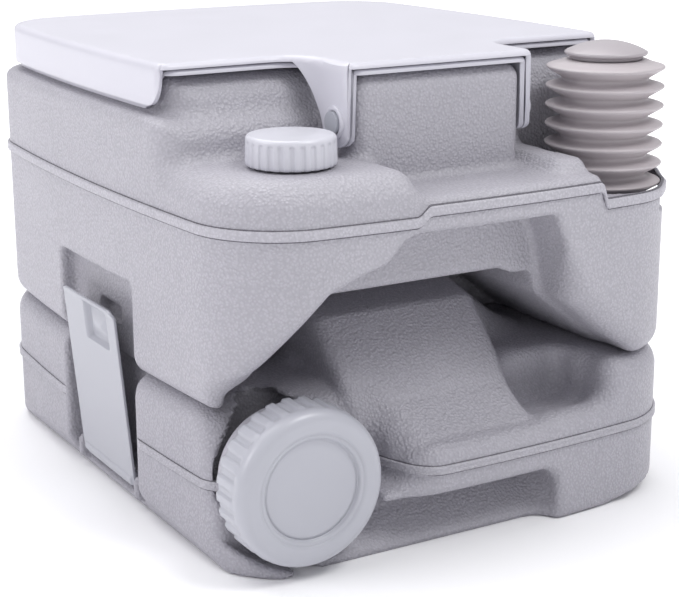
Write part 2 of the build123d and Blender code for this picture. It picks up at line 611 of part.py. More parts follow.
def fresh_form(inset):
    """The fresh tank's outside, or with inset its inside."""
    form = body_block(
        inset, SPLIT_Z + inset, DECK_Z - inset, LOBE_RADIUS - inset, DECK_RADIUS - inset
    )
    shoulder = body_block(
        inset, SPLIT_Z + LOBE_RADIUS, SHOULDER_Z - inset, 0, SHOULDER_RADIUS - inset
    )
    form += shoulder & box(
        LEFT - BIG, SHOULDER_RIGHT_X - inset, NEAR - BIG, SEAT_BODY_Y + CORNER_RADIUS, 0, BIG
    )
    behind = box(-BIG, BIG, SEAT_BODY_Y + inset, BIG, 0, BIG)
    form += body_block(inset, SPLIT_Z + LOBE_RADIUS, SIDE_WALL_Z - inset) & behind
    form += body_block(RIM_INSET + inset, DECK_Z - DECK_RADIUS, RIM_Z - inset) & behind
    half = BLOCK_HALF_WIDTH - inset
    block = box(
        -half,
        half,
        HINGE_Y - BLOCK_FRONT + inset,
        SEAT_BODY_Y + CORNER_RADIUS,
        DECK_Z - DECK_RADIUS,
        BLOCK_TOP_Z - inset,
    )
    block = fillet(
        block.faces().sort_by(Axis.Z)[-1].edges().sort_by(Axis.Y)[0:1], BLOCK_RADIUS - inset
    )
    form += block
    low_knee, high_knee = ARCH_LEFT_KNEES
    arch = [
        (ARCH_FOOT_LEFT_X, SPLIT_Z),
        (ARCH_FOOT_LEFT_X + low_knee[0], ARCH_TOP_Z - low_knee[1]),
        (-ARCH_TOP_HALF_WIDTH + high_knee[0], ARCH_TOP_Z - high_knee[1]),
        (-ARCH_TOP_HALF_WIDTH, ARCH_TOP_Z),
        (ARCH_TOP_HALF_WIDTH, ARCH_TOP_Z),
        (ARCH_FOOT_RIGHT_X - ARCH_RIGHT_KNEE[0], SPLIT_Z + ARCH_RIGHT_KNEE[1]),
        (ARCH_FOOT_RIGHT_X, SPLIT_Z),
        (ARCH_FOOT_RIGHT_X, 0),
        (ARCH_FOOT_LEFT_X, 0),
    ]
    form -= prism_y(arch, NEAR - BIG, NEAR + ARCH_DEPTH + inset, inset)
    form -= box(
        HUMP_LEFT_X - TUNNEL_SIDE_CLEARANCE - inset,
        HUMP_RIGHT_X + TUNNEL_SIDE_CLEARANCE + inset,
        NEAR - BIG,
        TUNNEL_BACK_Y + inset,
        0,
        TUNNEL_TOP_Z + inset,
    )
    form -= box(
        LEFT - BIG,
        CAP_HEADROOM_RIGHT_X + inset,
        NEAR - BIG,
        NEAR + CAP_HEADROOM_DEPTH + inset,
        0,
        CAP_HEADROOM_Z + inset,
    )
    form -= box(
        PUMP_CORNER_X - inset, BIG, NEAR - BIG, PUMP_CORNER_Y + inset, PUMP_CORNER_Z - inset, BIG
    )
    form -= cylinder(PUMP_X, PUMP_Y, PUMP_WELL_Z - inset, BIG, PUMP_WELL_RADIUS + inset)
    form -= latch_recess(inset, LATCH_POCKET_DEPTH, 0, LATCH_POCKET_TOP_Z)
    slot = HOOK_WIDTH / 2 + HOOK_CLEARANCE + inset
    hook_end = LATCH_PIVOT_X - LATCH_KNUCKLE_RADIUS + LATCH_THICKNESS + HOOK_REACH
    form -= both_sides(
        box(
            LEFT - BIG,
            hook_end + HOOK_CLEARANCE + inset,
            LATCH_Y - slot,
            LATCH_Y + slot,
            HOOK_Z - HOOK_CLEARANCE - inset,
            HOOK_Z + HOOK_HEIGHT + 2 * HOOK_CLEARANCE + inset,
        )
    )
    return form


def fresh_tank_halves():
    tank = fresh_form(0) - fresh_form(TANK_WALL)
    ring = bead(FRESH_BEAD_Z)
    ring -= box(-BIG, BIG, NEAR - BIG, NEAR + CORNER_RADIUS, 0, BIG)
    tank += ring
    tank -= bowl(TANK_WALL)
    tank -= cylinder(FILLER_X, FILLER_Y, SHOULDER_Z - 2 * TANK_WALL, BIG, NECK_RADIUS)
    tank -= cylinder(PUMP_X, PUMP_Y, PUMP_WELL_Z - 2 * TANK_WALL, BIG, PUMP_HOLE_RADIUS)
    for x0, x1 in pin_sockets():
        tank += cylinder_x(x0, x1, HINGE_Y, HINGE_Z, PIN_RADIUS + TANK_WALL)
        tank -= cylinder_x(x0, x1, HINGE_Y, HINGE_Z, PIN_RADIUS)
    return halves(tank, FRESH_BEAD_Z)


def pin_sockets():
    """Where the hinge pins sit in the block, left and right."""
    return (
        (-BLOCK_HALF_WIDTH, -BLOCK_HALF_WIDTH + PIN_SOCKET),
        (BLOCK_HALF_WIDTH - PIN_SOCKET, BLOCK_HALF_WIDTH),
    )


# ---- hinge, seat and lid ----------------------------------------------------------------
def hinge_pin():
    """The left hinge pin: a headed pin pressed into the block."""
    head_x = -LID_EAR_X - EAR_THICKNESS - EAR_GAP / 2
    pin = cylinder_x(head_x, -BLOCK_HALF_WIDTH + PIN_SOCKET, HINGE_Y, HINGE_Z, PIN_RADIUS)
    pin += cylinder_x(head_x - PIN_HEAD_THICKNESS, head_x, HINGE_Y, HINGE_Z, PIN_HEAD_RADIUS)
    return pin


def ears(x_inner, top_z):
    """A pair of hinge ears: round noses on the axis that widen up to the cover's plate."""
    reach = EAR_NOSE_RADIUS * EAR_NOSE_SHARE
    web = [
        (HINGE_Y - reach, HINGE_Z),
        (HINGE_Y - TONGUE_FRONT, top_z),
        (SEAT_BODY_Y - EAR_GAP, top_z),
        (HINGE_Y + 2 * reach, HINGE_Z + EAR_LEAN * reach),
        (HINGE_Y + reach, HINGE_Z),
    ]
    ear = prism_x(web, -x_inner - EAR_THICKNESS, -x_inner)
    ear += cylinder_x(-x_inner - EAR_THICKNESS, -x_inner, HINGE_Y, HINGE_Z, EAR_NOSE_RADIUS)
    ear -= cylinder_x(-BIG, BIG, HINGE_Y, HINGE_Z, PIN_RADIUS + PIN_CLEARANCE)
    return both_sides(ear)


def cover_shell(inset, top_z, skirt_z, x_ear):
    """A plate with a skirt on three sides and a tongue that carries its hinge ears."""
    behind = box(-BIG, BIG, LID_SIDE_Y, BIG, 0, BIG)
    shell = body_block(inset, skirt_z, top_z, 0, LID_WALL) & behind
    core = Pos(0, 0, skirt_z - PAST) * extrude(outline(inset + LID_WALL), top_z - LID_WALL - skirt_z + PAST)
    shell -= core
    skirt_start = LID_SIDE_Y + LID_SKIRT_STEP
    shell -= box(-BIG, BIG, LID_SIDE_Y - PAST, skirt_start, 0, top_z - LID_WALL)
    outer = x_ear + EAR_THICKNESS
    shell += box(-outer, outer, HINGE_Y - TONGUE_FRONT, LID_SIDE_Y, top_z - LID_WALL, top_z)
    for ear in ears(x_ear, top_z - LID_WALL):
        shell += ear
    return shell


def lid():
    return cover_shell(LID_INSET, LID_TOP_Z, LID_SKIRT_Z, LID_EAR_X)


def seat_ring():
    """The seat; its tongue's front edge is round about the hinge, so that the lid turns past it."""
    seat = cover_shell(SEAT_INSET, SEAT_TOP_Z, SEAT_SKIRT_Z, SEAT_EAR_X)
    reach = LID_TOP_Z - LID_WALL - HINGE_Z - TONGUE_CLEARANCE
    front = box(-BIG, BIG, NEAR, HINGE_Y, HINGE_Z, BIG)
    seat -= front - cylinder_x(-BIG, BIG, HINGE_Y, HINGE_Z, reach)
    hole = Ellipse(BOWL_HALF_WIDTH - SEAT_HOLE_MARGIN, BOWL_HALF_LENGTH - SEAT_HOLE_MARGIN)
    return seat - Pos(0, BOWL_Y, 0) * extrude(hole, BIG)


def bumpers(z0, z1):
    """Four round rubber pads."""
    return Compound(
        children=[
            cylinder(side * BUMPER_X, y, z0, z1, BUMPER_RADIUS)
            for side in (-1, 1)
            for y in (BUMPER_NEAR_Y, BUMPER_FAR_Y)
        ]
    )


# ---- filler -----------------------------------------------------------------------------
def filler_neck():
    """The filling neck, welded into the shoulder by a flange on the inside."""
    z_wall = SHOULDER_Z - TANK_WALL
    neck = cylinder(FILLER_X, FILLER_Y, z_wall - TANK_WALL, NECK_TOP_Z, NECK_RADIUS)
    neck += cylinder(FILLER_X, FILLER_Y, z_wall - TANK_WALL, z_wall, NECK_RADIUS + NECK_FLANGE)
    return neck - cylinder(FILLER_X, FILLER_Y, 0, BIG, FILLER_BORE_RADIUS)


def filler_cap():
    z0 = SHOULDER_Z + FILLER_CAP_GAP
    cap = cylinder(FILLER_X, FILLER_Y, z0, FILLER_CAP_TOP_Z, FILLER_CAP_RADIUS)
    cap = fillet(cap.faces().sort_by(Axis.Z)[-1].edges(), FILLER_CAP_EDGE)
    bore = NECK_RADIUS + THREAD_CLEARANCE
    cap -= cylinder(FILLER_X, FILLER_Y, z0 - PAST, FILLER_CAP_TOP_Z - FILLER_CAP_WALL, bore)
    grip = cylinder(FILLER_X + FILLER_CAP_RADIUS, FILLER_Y, z0 + FILLER_CAP_RIM, FILLER_CAP_TOP_Z + PAST, GRIP_RADIUS)
    axis = Axis((FILLER_X, FILLER_Y, 0), (0, 0, 1))
    return cap - [grip.rotate(axis, 360 * i / FILLER_GRIPS) for i in range(FILLER_GRIPS)]


def filler_cap_seal():
    ring = cylinder(FILLER_X, FILLER_Y, NECK_TOP_Z, FILLER_CAP_TOP_Z - FILLER_CAP_WALL, NECK_RADIUS)
    return ring - cylinder(FILLER_X, FILLER_Y, 0, BIG, FILLER_BORE_RADIUS)


# ---- bellows pump -----------------------------------------------------------------------
def pump_collar():
    """Flanged collar that holds the bellows in its well."""
    z1 = PUMP_WELL_Z + COLLAR_FLANGE_THICKNESS
    collar = cylinder(PUMP_X, PUMP_Y, PUMP_WELL_Z, z1, BELLOWS_RADIUS - COLLAR_FLANGE_MARGIN)
    collar += cylinder(PUMP_X, PUMP_Y, PUMP_WELL_Z - 2 * TANK_WALL, BELLOWS_BASE_Z, PUMP_HOLE_RADIUS)
    collar -= cylinder(
        PUMP_X, PUMP_Y, PUMP_WELL_Z - 3 * TANK_WALL, BIG, VALVE_HOUSING_RADIUS
    )
    return collar


def pump_bellows():
    """Convoluted tube: a zigzag wall turned round the pump's axis."""
    outer, inner = [], []
    for i in range(BELLOWS_CONVOLUTIONS):
        z = BELLOWS_BASE_Z + i * BELLOWS_PITCH
        outer += [(BELLOWS_ROOT_RADIUS, z), (BELLOWS_RADIUS, z + BELLOWS_PITCH / 2)]
        inner += [
            (BELLOWS_ROOT_RADIUS - BELLOWS_WALL, z),
            (BELLOWS_RADIUS - BELLOWS_WALL, z + BELLOWS_PITCH / 2),
        ]
    outer.append((BELLOWS_ROOT_RADIUS, BELLOWS_TOP_Z))
    inner.append((BELLOWS_ROOT_RADIUS - BELLOWS_WALL, BELLOWS_TOP_Z))
    wall = make_face(Polyline(*outer, *reversed(inner), close=True))
    tube = revolve(Plane.XZ * wall, Axis.Z)
    foot = cylinder(0, 0, BELLOWS_BASE_Z - BELLOWS_WALL, BELLOWS_BASE_Z, BELLOWS_ROOT_RADIUS)
    foot -= cylinder(0, 0, 0, BELLOWS_TOP_Z, PUMP_HOLE_RADIUS + THREAD_CLEARANCE)
    return Pos(PUMP_X, PUMP_Y, 0) * (tube + foot)


def pump_cap():
    """The domed top that the hand presses, on a disc that closes the bellows."""
    disc = cylinder(PUMP_X, PUMP_Y, BELLOWS_TOP_Z, BELLOWS_TOP_Z + BELLOWS_WALL, BELLOWS_ROOT_RADIUS)
    base_z = PUMP_CAP_TOP_Z - PUMP_CAP_HEIGHT
    disc += cylinder(PUMP_X, PUMP_Y, BELLOWS_TOP_Z, base_z, PUMP_CAP_RADIUS - BELLOWS_WALL)
    sphere_radius = (PUMP_CAP_RADIUS**2 + PUMP_CAP_HEIGHT**2) / (2 * PUMP_CAP_HEIGHT)
    ball = Pos(PUMP_X, PUMP_Y, PUMP_CAP_TOP_Z - sphere_radius) * Sphere(sphere_radius)
    return disc + (ball & box(-BIG, BIG, NEAR, FAR, base_z, BIG))


def pump_valve_housing():
    """The foot-valve housing that plugs into the collar."""
    z1 = BELLOWS_BASE_Z
    z0 = z1 - VALVE_HOUSING_LENGTH
    housing = cylinder(PUMP_X, PUMP_Y, z0, z1, VALVE_HOUSING_RADIUS)
    barb_end = PUMP_X - VALVE_HOUSING_RADIUS - BARB_LENGTH
    housing += cylinder_x(barb_end, PUMP_X, PUMP_Y, HOSE_Z, HOSE_BORE_RADIUS)
    return housing - cylinder(PUMP_X, PUMP_Y, z0 - PAST, z1 + PAST, PICKUP_RADIUS)


def pickup_tube():
    """Draws water from just above the fresh tank's floor."""
    z0 = SPLIT_Z + TANK_WALL + PICKUP_GAP
    tube = cylinder(PUMP_X, PUMP_Y, z0, BELLOWS_BASE_Z, PICKUP_RADIUS)
    return tube - cylinder(PUMP_X, PUMP_Y, z0 - PAST, BELLOWS_BASE_Z + PAST, PICKUP_BORE_RADIUS)


def nozzle_place():
    """Where the flush nozzle enters the bowl wall, on the pump's side at the back."""
    fraction = (NOZZLE_Z - BOWL_THROAT_Z) / (RIM_Z - BOWL_THROAT_Z)
    half_length = PORT_RADIUS + fraction * (BOWL_HALF_LENGTH - PORT_RADIUS)
    centre_y = PORT_Y + fraction * (BOWL_Y - PORT_Y)
    return centre_y - half_length


def nozzle_bore():
    """The hole through the bowl's back wall for the flush nozzle."""
    y = nozzle_place()
    return cylinder_y(0, NOZZLE_Z, y - NOZZLE_LENGTH, y + NOZZLE_LENGTH, NOZZLE_RADIUS)


def flush_nozzle():
    """A short tube through the bowl's back wall, that sprays under the rim."""
    y = nozzle_place()
    nozzle = cylinder_y(0, NOZZLE_Z, y - NOZZLE_LENGTH, y + 2 * TANK_WALL, NOZZLE_RADIUS)
    return nozzle - cylinder_y(0, NOZZLE_Z, y - BIG, y + BIG, HOSE_BORE_RADIUS)


def flush_hose():
    """Carries the pumped water from the housing's barb to the nozzle."""
    nozzle_back = nozzle_place() - NOZZLE_LENGTH
    route = FilletPolyline(
        (PUMP_X - VALVE_HOUSING_RADIUS, PUMP_Y, HOSE_Z),
        (PUMP_X - PUMP_WELL_RADIUS - HOSE_BEND_RADIUS, PUMP_Y, HOSE_Z),
        (0, HINGE_Y, HOSE_Z + HOSE_BEND_RADIUS),
        (0, HINGE_Y, NOZZLE_Z),
        (0, nozzle_back, NOZZLE_Z),
        radius=HOSE_BEND_RADIUS,
    )
    end = Plane(origin=route @ 0, z_dir=route % 0)
    hose = sweep(end * Circle(HOSE_RADIUS), path=route)
    return hose - sweep(end * Circle(HOSE_BORE_RADIUS), path=route)


# ---- side latches -----------------------------------------------------------------------
def leaned(solid):
    """A left latch piece turned outward from its home to its rest angle."""
    axis = Axis((LATCH_PIVOT_X, 0, LATCH_PIVOT_Z), (0, 1, 0))
    return solid.rotate(axis, -LATCH_REST_ANGLE)


def latch():
    """The left latch: knuckle, plate, thumb lip and hook."""
    y0, y1 = LATCH_Y - LATCH_WIDTH / 2, LATCH_Y + LATCH_WIDTH / 2
    face_x = LATCH_PIVOT_X - LATCH_KNUCKLE_RADIUS
    plate = box(face_x, face_x + LATCH_THICKNESS, y0, y1, LATCH_PIVOT_Z, LATCH_TOP_Z)
    plate = fillet(plate.edges().filter_by(Axis.X), LATCH_CORNER)
    plate += cylinder_y(LATCH_PIVOT_X, LATCH_PIVOT_Z, y0, y1, LATCH_KNUCKLE_RADIUS)
    plate += box(
        face_x + LATCH_THICKNESS,
        face_x + LATCH_THICKNESS + HOOK_REACH,
        LATCH_Y - HOOK_WIDTH / 2,
        LATCH_Y + HOOK_WIDTH / 2,
        HOOK_Z,
        HOOK_Z + HOOK_HEIGHT,
    )
    plate -= cylinder_y(
        LATCH_PIVOT_X, LATCH_PIVOT_Z, y0 - PAST, y1 + PAST, LATCH_PIN_RADIUS + PIN_CLEARANCE
    )
    return leaned(plate)


def write(node, solid):
    export_step(solid, f"parts/{node}.step")
    print(node, round(solid.volume / 1000, 1), "cm3")


os.makedirs("parts", exist_ok=True)

for name, solid in zip(("waste_tank_lower", "waste_tank_upper"), waste_tank_halves()):
    write(name, solid)
write("waste_spout", waste_spout())
write("waste_cap", waste_cap())
write("waste_cap_seal", waste_cap_seal())
write("valve_base", valve_base())
write("valve_cover", valve_cover())
write("valve_lip_seal", valve_lip_seal())
write("valve_blade", valve_blade())
write("valve_handle", valve_handle())
write("valve_screws", valve_screws())
for name, solid in zip(("latch_left", "latch_right"), both_sides(latch())):
    write(name, solid)
for name, solid in zip(("latch_pin_left", "latch_pin_right"), both_sides(latch_pin())):
    write(name, solid)
for name, solid in zip(("fresh_tank_lower", "fresh_tank_upper"), fresh_tank_halves()):
    write(name, solid)
write("bowl_liner", bowl_liner())
write("filler_neck", filler_neck())
for name, solid in zip(("hinge_pin_left", "hinge_pin_right"), both_sides(hinge_pin())):
    write(name, solid)
write("lid", lid())
write("seat_ring", seat_ring())
write("lid_bumpers", bumpers(SEAT_TOP_Z, SEAT_TOP_Z + SEAT_GAP))
write("seat_bumpers", bumpers(RIM_Z, SEAT_TOP_Z - LID_WALL))
write("filler_cap", filler_cap())
write("filler_cap_seal", filler_cap_seal())
write("pump_collar", pump_collar())
write("pump_bellows", pump_bellows())
write("pump_cap", pump_cap())
write("pump_valve_housing", pump_valve_housing())
write("pickup_tube", pickup_tube())
write("flush_nozzle", flush_nozzle())
write("flush_hose", flush_hose())
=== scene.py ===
import json
import math
import bpy
import numpy as np
from mathutils import Matrix, Vector


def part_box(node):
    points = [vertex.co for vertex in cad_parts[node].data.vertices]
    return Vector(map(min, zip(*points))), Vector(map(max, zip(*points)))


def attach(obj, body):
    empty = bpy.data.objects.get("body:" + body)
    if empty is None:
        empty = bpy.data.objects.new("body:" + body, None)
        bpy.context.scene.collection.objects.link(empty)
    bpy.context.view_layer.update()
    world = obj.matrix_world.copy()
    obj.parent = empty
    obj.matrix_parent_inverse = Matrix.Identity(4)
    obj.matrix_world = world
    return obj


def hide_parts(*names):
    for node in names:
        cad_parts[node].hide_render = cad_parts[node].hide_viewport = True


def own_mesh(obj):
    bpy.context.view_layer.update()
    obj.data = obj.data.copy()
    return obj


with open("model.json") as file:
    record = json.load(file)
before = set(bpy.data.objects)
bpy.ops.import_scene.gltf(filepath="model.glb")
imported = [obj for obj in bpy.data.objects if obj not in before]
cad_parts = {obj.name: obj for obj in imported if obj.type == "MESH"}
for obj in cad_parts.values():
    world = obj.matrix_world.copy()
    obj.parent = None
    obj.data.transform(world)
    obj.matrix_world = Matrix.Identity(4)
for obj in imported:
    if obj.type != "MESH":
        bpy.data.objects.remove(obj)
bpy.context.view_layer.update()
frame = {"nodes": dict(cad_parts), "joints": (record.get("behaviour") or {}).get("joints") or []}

# ==== Camera and studio ========================================================================
# The camera looks down on the service side from its left, a little over a metre away.
# The room is a plain white floor under a large soft lamp, a window lamp, a softbox before the
# object and an even sky; far from the object the floor glows a little, so that it stays white.
azimuth, elevation, roll = math.radians(-30.34), math.radians(15.46), math.radians(-0.21)
distance = 1.1782
target = Vector((0.01695, 0.0, 0.10354))
back = Vector((
    math.sin(azimuth) * math.cos(elevation),
    -math.cos(azimuth) * math.cos(elevation),
    math.sin(elevation),
))
camera = bpy.data.objects.new("camera", bpy.data.cameras.new("camera"))
bpy.context.scene.collection.objects.link(camera)
camera.data.sensor_width = 36.0
camera.data.lens = 87.5
camera.data.clip_end = 20.0
turn = back.to_track_quat("Z", "Y").to_matrix().to_4x4()
camera.matrix_world = Matrix.Translation(target + back * distance) @ turn @ Matrix.Rotation(roll, 4, "Z")
bpy.context.scene.camera = camera


def linear(hex_colour):
    """An sRGB hex colour as linear red, green, blue and alpha."""
    parts = [int(hex_colour[i:i + 2], 16) / 255 for i in (1, 3, 5)]
    return (*[c / 12.92 if c <= 0.04045 else ((c + 0.055) / 1.055) ** 2.4 for c in parts], 1.0)


def node(tree, kind, settings=None, **links):
    """Adds a node, sets its properties and its inputs: a socket is linked, a value is stored."""
    made = tree.nodes.new(kind)
    for name, value in (settings or {}).items():
        setattr(made, name, value)
    for name, value in links.items():
        key = int(name[1:]) if name[0] == "i" and name[1:].isdigit() else name.replace("_", " ")
        if isinstance(value, bpy.types.NodeSocket):
            tree.links.new(value, made.inputs[key])
        else:
            made.inputs[key].default_value = value
    return made


def new_material(name):
    """An empty node material and its principled shader, joined to the output."""
    material = bpy.data.materials.new(name)
    material.use_nodes = True
    tree = material.node_tree
    tree.nodes.clear()
    shader = node(tree, "ShaderNodeBsdfPrincipled")
    node(tree, "ShaderNodeOutputMaterial", Surface=shader.outputs["BSDF"])
    return material, tree, shader


def lamp(name, place, size, watts, colour):
    """A square area lamp aimed at the middle of the object."""
    data = bpy.data.lights.new(name, "AREA")
    data.size = size
    data.energy = watts
    data.color = linear(colour)[:3]
    lamp_object = bpy.data.objects.new(name, data)
    bpy.context.scene.collection.objects.link(lamp_object)
    aim = Vector(place) - Vector((0, 0, 0.15))
    lamp_object.matrix_world = Matrix.Translation(place) @ aim.to_track_quat("Z", "Y").to_matrix().to_4x4()


lamp("overhead", (-0.3, 0.9, 2.6), 2.6, 50, "#ffffff")
lamp("left_window", (-2.2, 0.3, 1.3), 1.0, 14, "#fdfbff")
lamp("front_softbox", (0.8, -1.4, 2.6), 1.1, 34, "#ffffff")

world = bpy.data.worlds.new("studio_sky")
world.use_nodes = True
world.node_tree.nodes["Background"].inputs["Color"].default_value = linear("#f6f6fa")
world.node_tree.nodes["Background"].inputs["Strength"].default_value = 0.6
bpy.context.scene.world = world
bpy.context.scene.view_settings.view_transform = "Standard"

floor_mesh = bpy.data.meshes.new("floor")
floor_half = 6.0
floor_mesh.from_pydata(
    [(sx * floor_half, sy * floor_half, 0) for sx, sy in ((-1, -1), (1, -1), (1, 1), (-1, 1))],
    [], [(0, 1, 2, 3)],
)
floor = bpy.data.objects.new("floor", floor_mesh)
bpy.context.scene.collection.objects.link(floor)
floor_paint, floor_tree, floor_shader = new_material("matt_white_floor")
floor_shader.inputs["Base Color"].default_value = linear("#fdfdfe")
floor_shader.inputs["Roughness"].default_value = 0.9
floor_place = node(floor_tree, "ShaderNodeTexCoord").outputs["Object"]
floor_reach = node(floor_tree, "ShaderNodeVectorMath", {"operation": "LENGTH"}, i0=floor_place)
floor_glow = node(floor_tree, "ShaderNodeMapRange", Value=floor_reach.outputs["Value"], From_Min=0.6,
                  From_Max=1.8, To_Min=0.0, To_Max=0.45)
floor_shader.inputs["Emission Color"].default_value = linear("#ffffff")
floor_tree.links.new(floor_glow.outputs[0], floor_shader.inputs["Emission Strength"])
floor_mesh.materials.append(floor_paint)

# ==== Fresh-water tank =========================================================================
# Two grained HDPE halves welded along a flat bead; together they are also the toilet's body, with
# filler shoulder, hinge block, arched hand recess, pump corner and latch pockets, all with the
# soft radii of a blow mould. Lengths in this and the later sections are millimetres.
MM = 0.001
joint_at = {j["name"]: np.array(j["pos_m"]) / MM for j in frame["joints"] if "pos_m" in j}


def box_mm(*nodes):
    """Lowest and highest corner of CAD nodes together, in millimetres."""
    corners = np.array([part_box(name) for name in nodes]) / MM
    return corners[:, 0].min(0), corners[:, 1].max(0)


tank_low, tank_high = box_mm("fresh_tank_lower", "fresh_tank_upper")
bead_proud = 2.0
half_width, half_depth = tank_high[:2] - bead_proud
side_bow, plan_corner = 10.0, 46.0
near = -half_depth
split_z, top_z = tank_low[2], tank_high[2]
deck_z, shoulder_z, side_wall_z, rim_z = 220.0, 236.0, 262.0, top_z - 1
rim_inset = 16.0
lobe_root_z, shoulder_end_x = split_z + 20, -47.0
hinge_block_half, hinge_block_front = 60.0, 13.0
tunnel_left_x, tunnel_right_x, tunnel_top_z = -90.0, 112.0, 156.0
recess_depth, undercut_depth, tunnel_overrun = 38.0, 110.0, 52.0
pump_corner_x, pump_corner_z, pump_corner_depth = 86.5, 204.0, 102.0
well_radius, well_floor_z = 42.5, 190.0
latch_y, pocket_half, pocket_depth, pocket_top_z = -7.0, 58.0, 12.0, 155.0
slot_half, slot_depth, slot_low_z, slot_high_z = 16.5, 20.5, 118.5, 129.0
socket_radius, socket_inner_x = 4.0, 46.0
throat_z, throat_half, bowl_y = 122.0, 47.0, 42.0
bowl_half_x, bowl_half_y = 106.0, 131.0
far = 500.0
seat_body_y = near + 104.5
hinge_y, hinge_z = joint_at["lid_open"][1:]
port_y = (sum(box_mm("valve_lip_seal")) / 2)[1]
pump_x, pump_y = (sum(box_mm("pump_cap")) / 2)[:2]


def round_join(a, b, r):
    """Union of two distances with a fillet of radius r where they meet."""
    corner = np.hypot(np.maximum(r - a, 0), np.maximum(r - b, 0))
    return np.maximum(r, np.minimum(a, b)) - corner


def round_meet(a, b, r):
    """Intersection of two distances with the shared edge rounded to radius r."""
    corner = np.hypot(np.maximum(r + a, 0), np.maximum(r + b, 0))
    return np.minimum(-r, np.maximum(a, b)) + corner


def round_cut(a, b, r):
    """Distance a with b taken out of it, the edge rounded to radius r."""
    return round_meet(a, -b, r)


def ease(t):
    """Smooth step from 0 to 1 as t goes from 0 to 1."""
    t = np.clip(t, 0, 1)
    return t * t * (3 - 2 * t)


def plan(x, y, inset=0.0):
    """Distance from the body's plan: a rounded rectangle whose sides bow out parabolically."""
    reach_x = half_width - inset - side_bow * (y / (half_depth - side_bow)) ** 2
    reach_y = half_depth - inset - side_bow * (x / (half_width - side_bow)) ** 2
    r = plan_corner - inset
    qx, qy = np.abs(x) - reach_x + r, np.abs(y) - reach_y + r
    return np.hypot(np.maximum(qx, 0), np.maximum(qy, 0)) + np.minimum(np.maximum(qx, qy), 0) - r


def block(x, y, z, z0, z1, inset=0.0, low=0.5, high=0.5):
    """The plan carried up from z0 to z1, with rounded lower and upper edges."""
    return round_meet(round_meet(plan(x, y, inset), z - z1, high), z0 - z, low)


def brick(x, y, z, low, high, r):
    """Distance from an upright box between two corners, with edges of radius r."""
    q = [np.abs(v - (a + b) / 2) - (b - a) / 2 + r for v, a, b in zip((x, y, z), low, high)]
    outside = np.sqrt(sum(np.maximum(v, 0) ** 2 for v in q))
    return outside + np.minimum(np.maximum(np.maximum(q[0], q[1]), q[2]), 0) - r


def outline(u, v, points, r):
    """Distance from a closed polygon in a plane, grown by r with round corners."""
    best = np.full(np.broadcast(u, v).shape, np.inf)
    inside = np.zeros(best.shape, bool)
    for (au, av), (bu, bv) in zip(points, points[1:] + points[:1]):
        eu, ev = bu - au, bv - av
        t = np.clip(((u - au) * eu + (v - av) * ev) / (eu * eu + ev * ev), 0, 1)
        best = np.minimum(best, np.hypot(u - au - t * eu, v - av - t * ev))
        if av != bv:
            inside ^= ((av > v) != (bv > v)) & (u < (v - av) * eu / ev + au)
    return np.where(inside, -best, best) - r


def settle(points, distance, step, rounds, level=False):
    """Newton steps that put points on the zero surface, each at most half a grid step long.
    With level set, points keep their height."""
    h = 0.02 * step
    for _ in range(rounds):
        x, y, z = points.T
        d = distance(x, y, z)
        rise = (distance(x, y, z + h) - distance(x, y, z - h)) * (0 if level else 1)
        slope = np.stack([
            distance(x + h, y, z) - distance(x - h, y, z),
            distance(x, y + h, z) - distance(x, y - h, z),
            rise,
        ], 1) / (2 * h)
        move = slope * (d / np.maximum((slope ** 2).sum(1), 0.05))[:, None]
        length = np.linalg.norm(move, axis=1, keepdims=True)
        points = points - move * np.minimum(1, 0.5 * step / np.maximum(length, 1e-9))
    return points


def skin(distance, low, high, step):
    """Quads round the zero surface of a distance, by surface nets on a regular grid: one vertex
    in each cell the surface passes, at the mean of the cell's edge crossings, then relaxed along
    the surface and settled on it by Newton steps along the gradient."""
    axes = [np.arange(a - 2 * step, b + 3 * step, step) for a, b in zip(low, high)]
    field = distance(*np.meshgrid(*axes, indexing="ij", sparse=True)).astype(np.float32)
    cells = tuple(n - 1 for n in field.shape)
    total = np.zeros((*cells, 3), np.float32)
    count = np.zeros(cells, np.float32)
    crossings = []
    for axis in range(3):
        first = np.take(field, range(field.shape[axis] - 1), axis)
        second = np.take(field, range(1, field.shape[axis]), axis)
        crossed = (first < 0) != (second < 0)
        share = np.where(crossed, first / np.where(crossed, first - second, 1), 0)
        crossings.append((axis, crossed, first < 0))
        others = [a for a in range(3) if a != axis]
        for s0 in (0, 1):
            for s1 in (0, 1):
                pick = [slice(None)] * 3
                pick[others[0]] = slice(s0, s0 + cells[others[0]])
                pick[others[1]] = slice(s1, s1 + cells[others[1]])
                here = crossed[tuple(pick)]
                count += here
                total[..., axis] += np.where(here, share[tuple(pick)], 0)
                total[..., others[0]] += here * s0
                total[..., others[1]] += here * s1
    active = count > 0
    number = np.full(cells, -1, np.int64)
    number[active] = np.arange(active.sum())
    origin = np.array([a[0] for a in axes])
    points = (np.argwhere(active) + total[active] / count[active][:, None]) * step + origin
    quads = []
    for axis, crossed, first_inside in crossings:
        a, b = [k for k in range(3) if k != axis]
        at = np.argwhere(crossed)
        at = at[(at[:, a] > 0) & (at[:, b] > 0)]
        flip = first_inside[tuple(at.T)] == (axis != 1)
        ring = []
        for da, db in ((0, 0), (1, 0), (1, 1), (0, 1)):
            cell = at.copy()
            cell[:, a] -= da
            cell[:, b] -= db
            ring.append(number[tuple(cell.T)])
        quad = np.stack(ring, 1)
        quads.append(np.where(flip[:, None], quad, quad[:, ::-1]))
    quads = np.concatenate(quads)
    weight = np.bincount(quads.ravel(), minlength=len(points))[:, None]
    for _ in range(3):
        centre = np.repeat(points[quads].mean(1), 4, axis=0)
        sums = [np.bincount(quads.ravel(), centre[:, k], len(points)) for k in range(3)]
        points = settle(0.4 * points + 0.6 * np.stack(sums, 1) / weight, distance, step, 2)
    return settle(points, distance, step, 3), quads


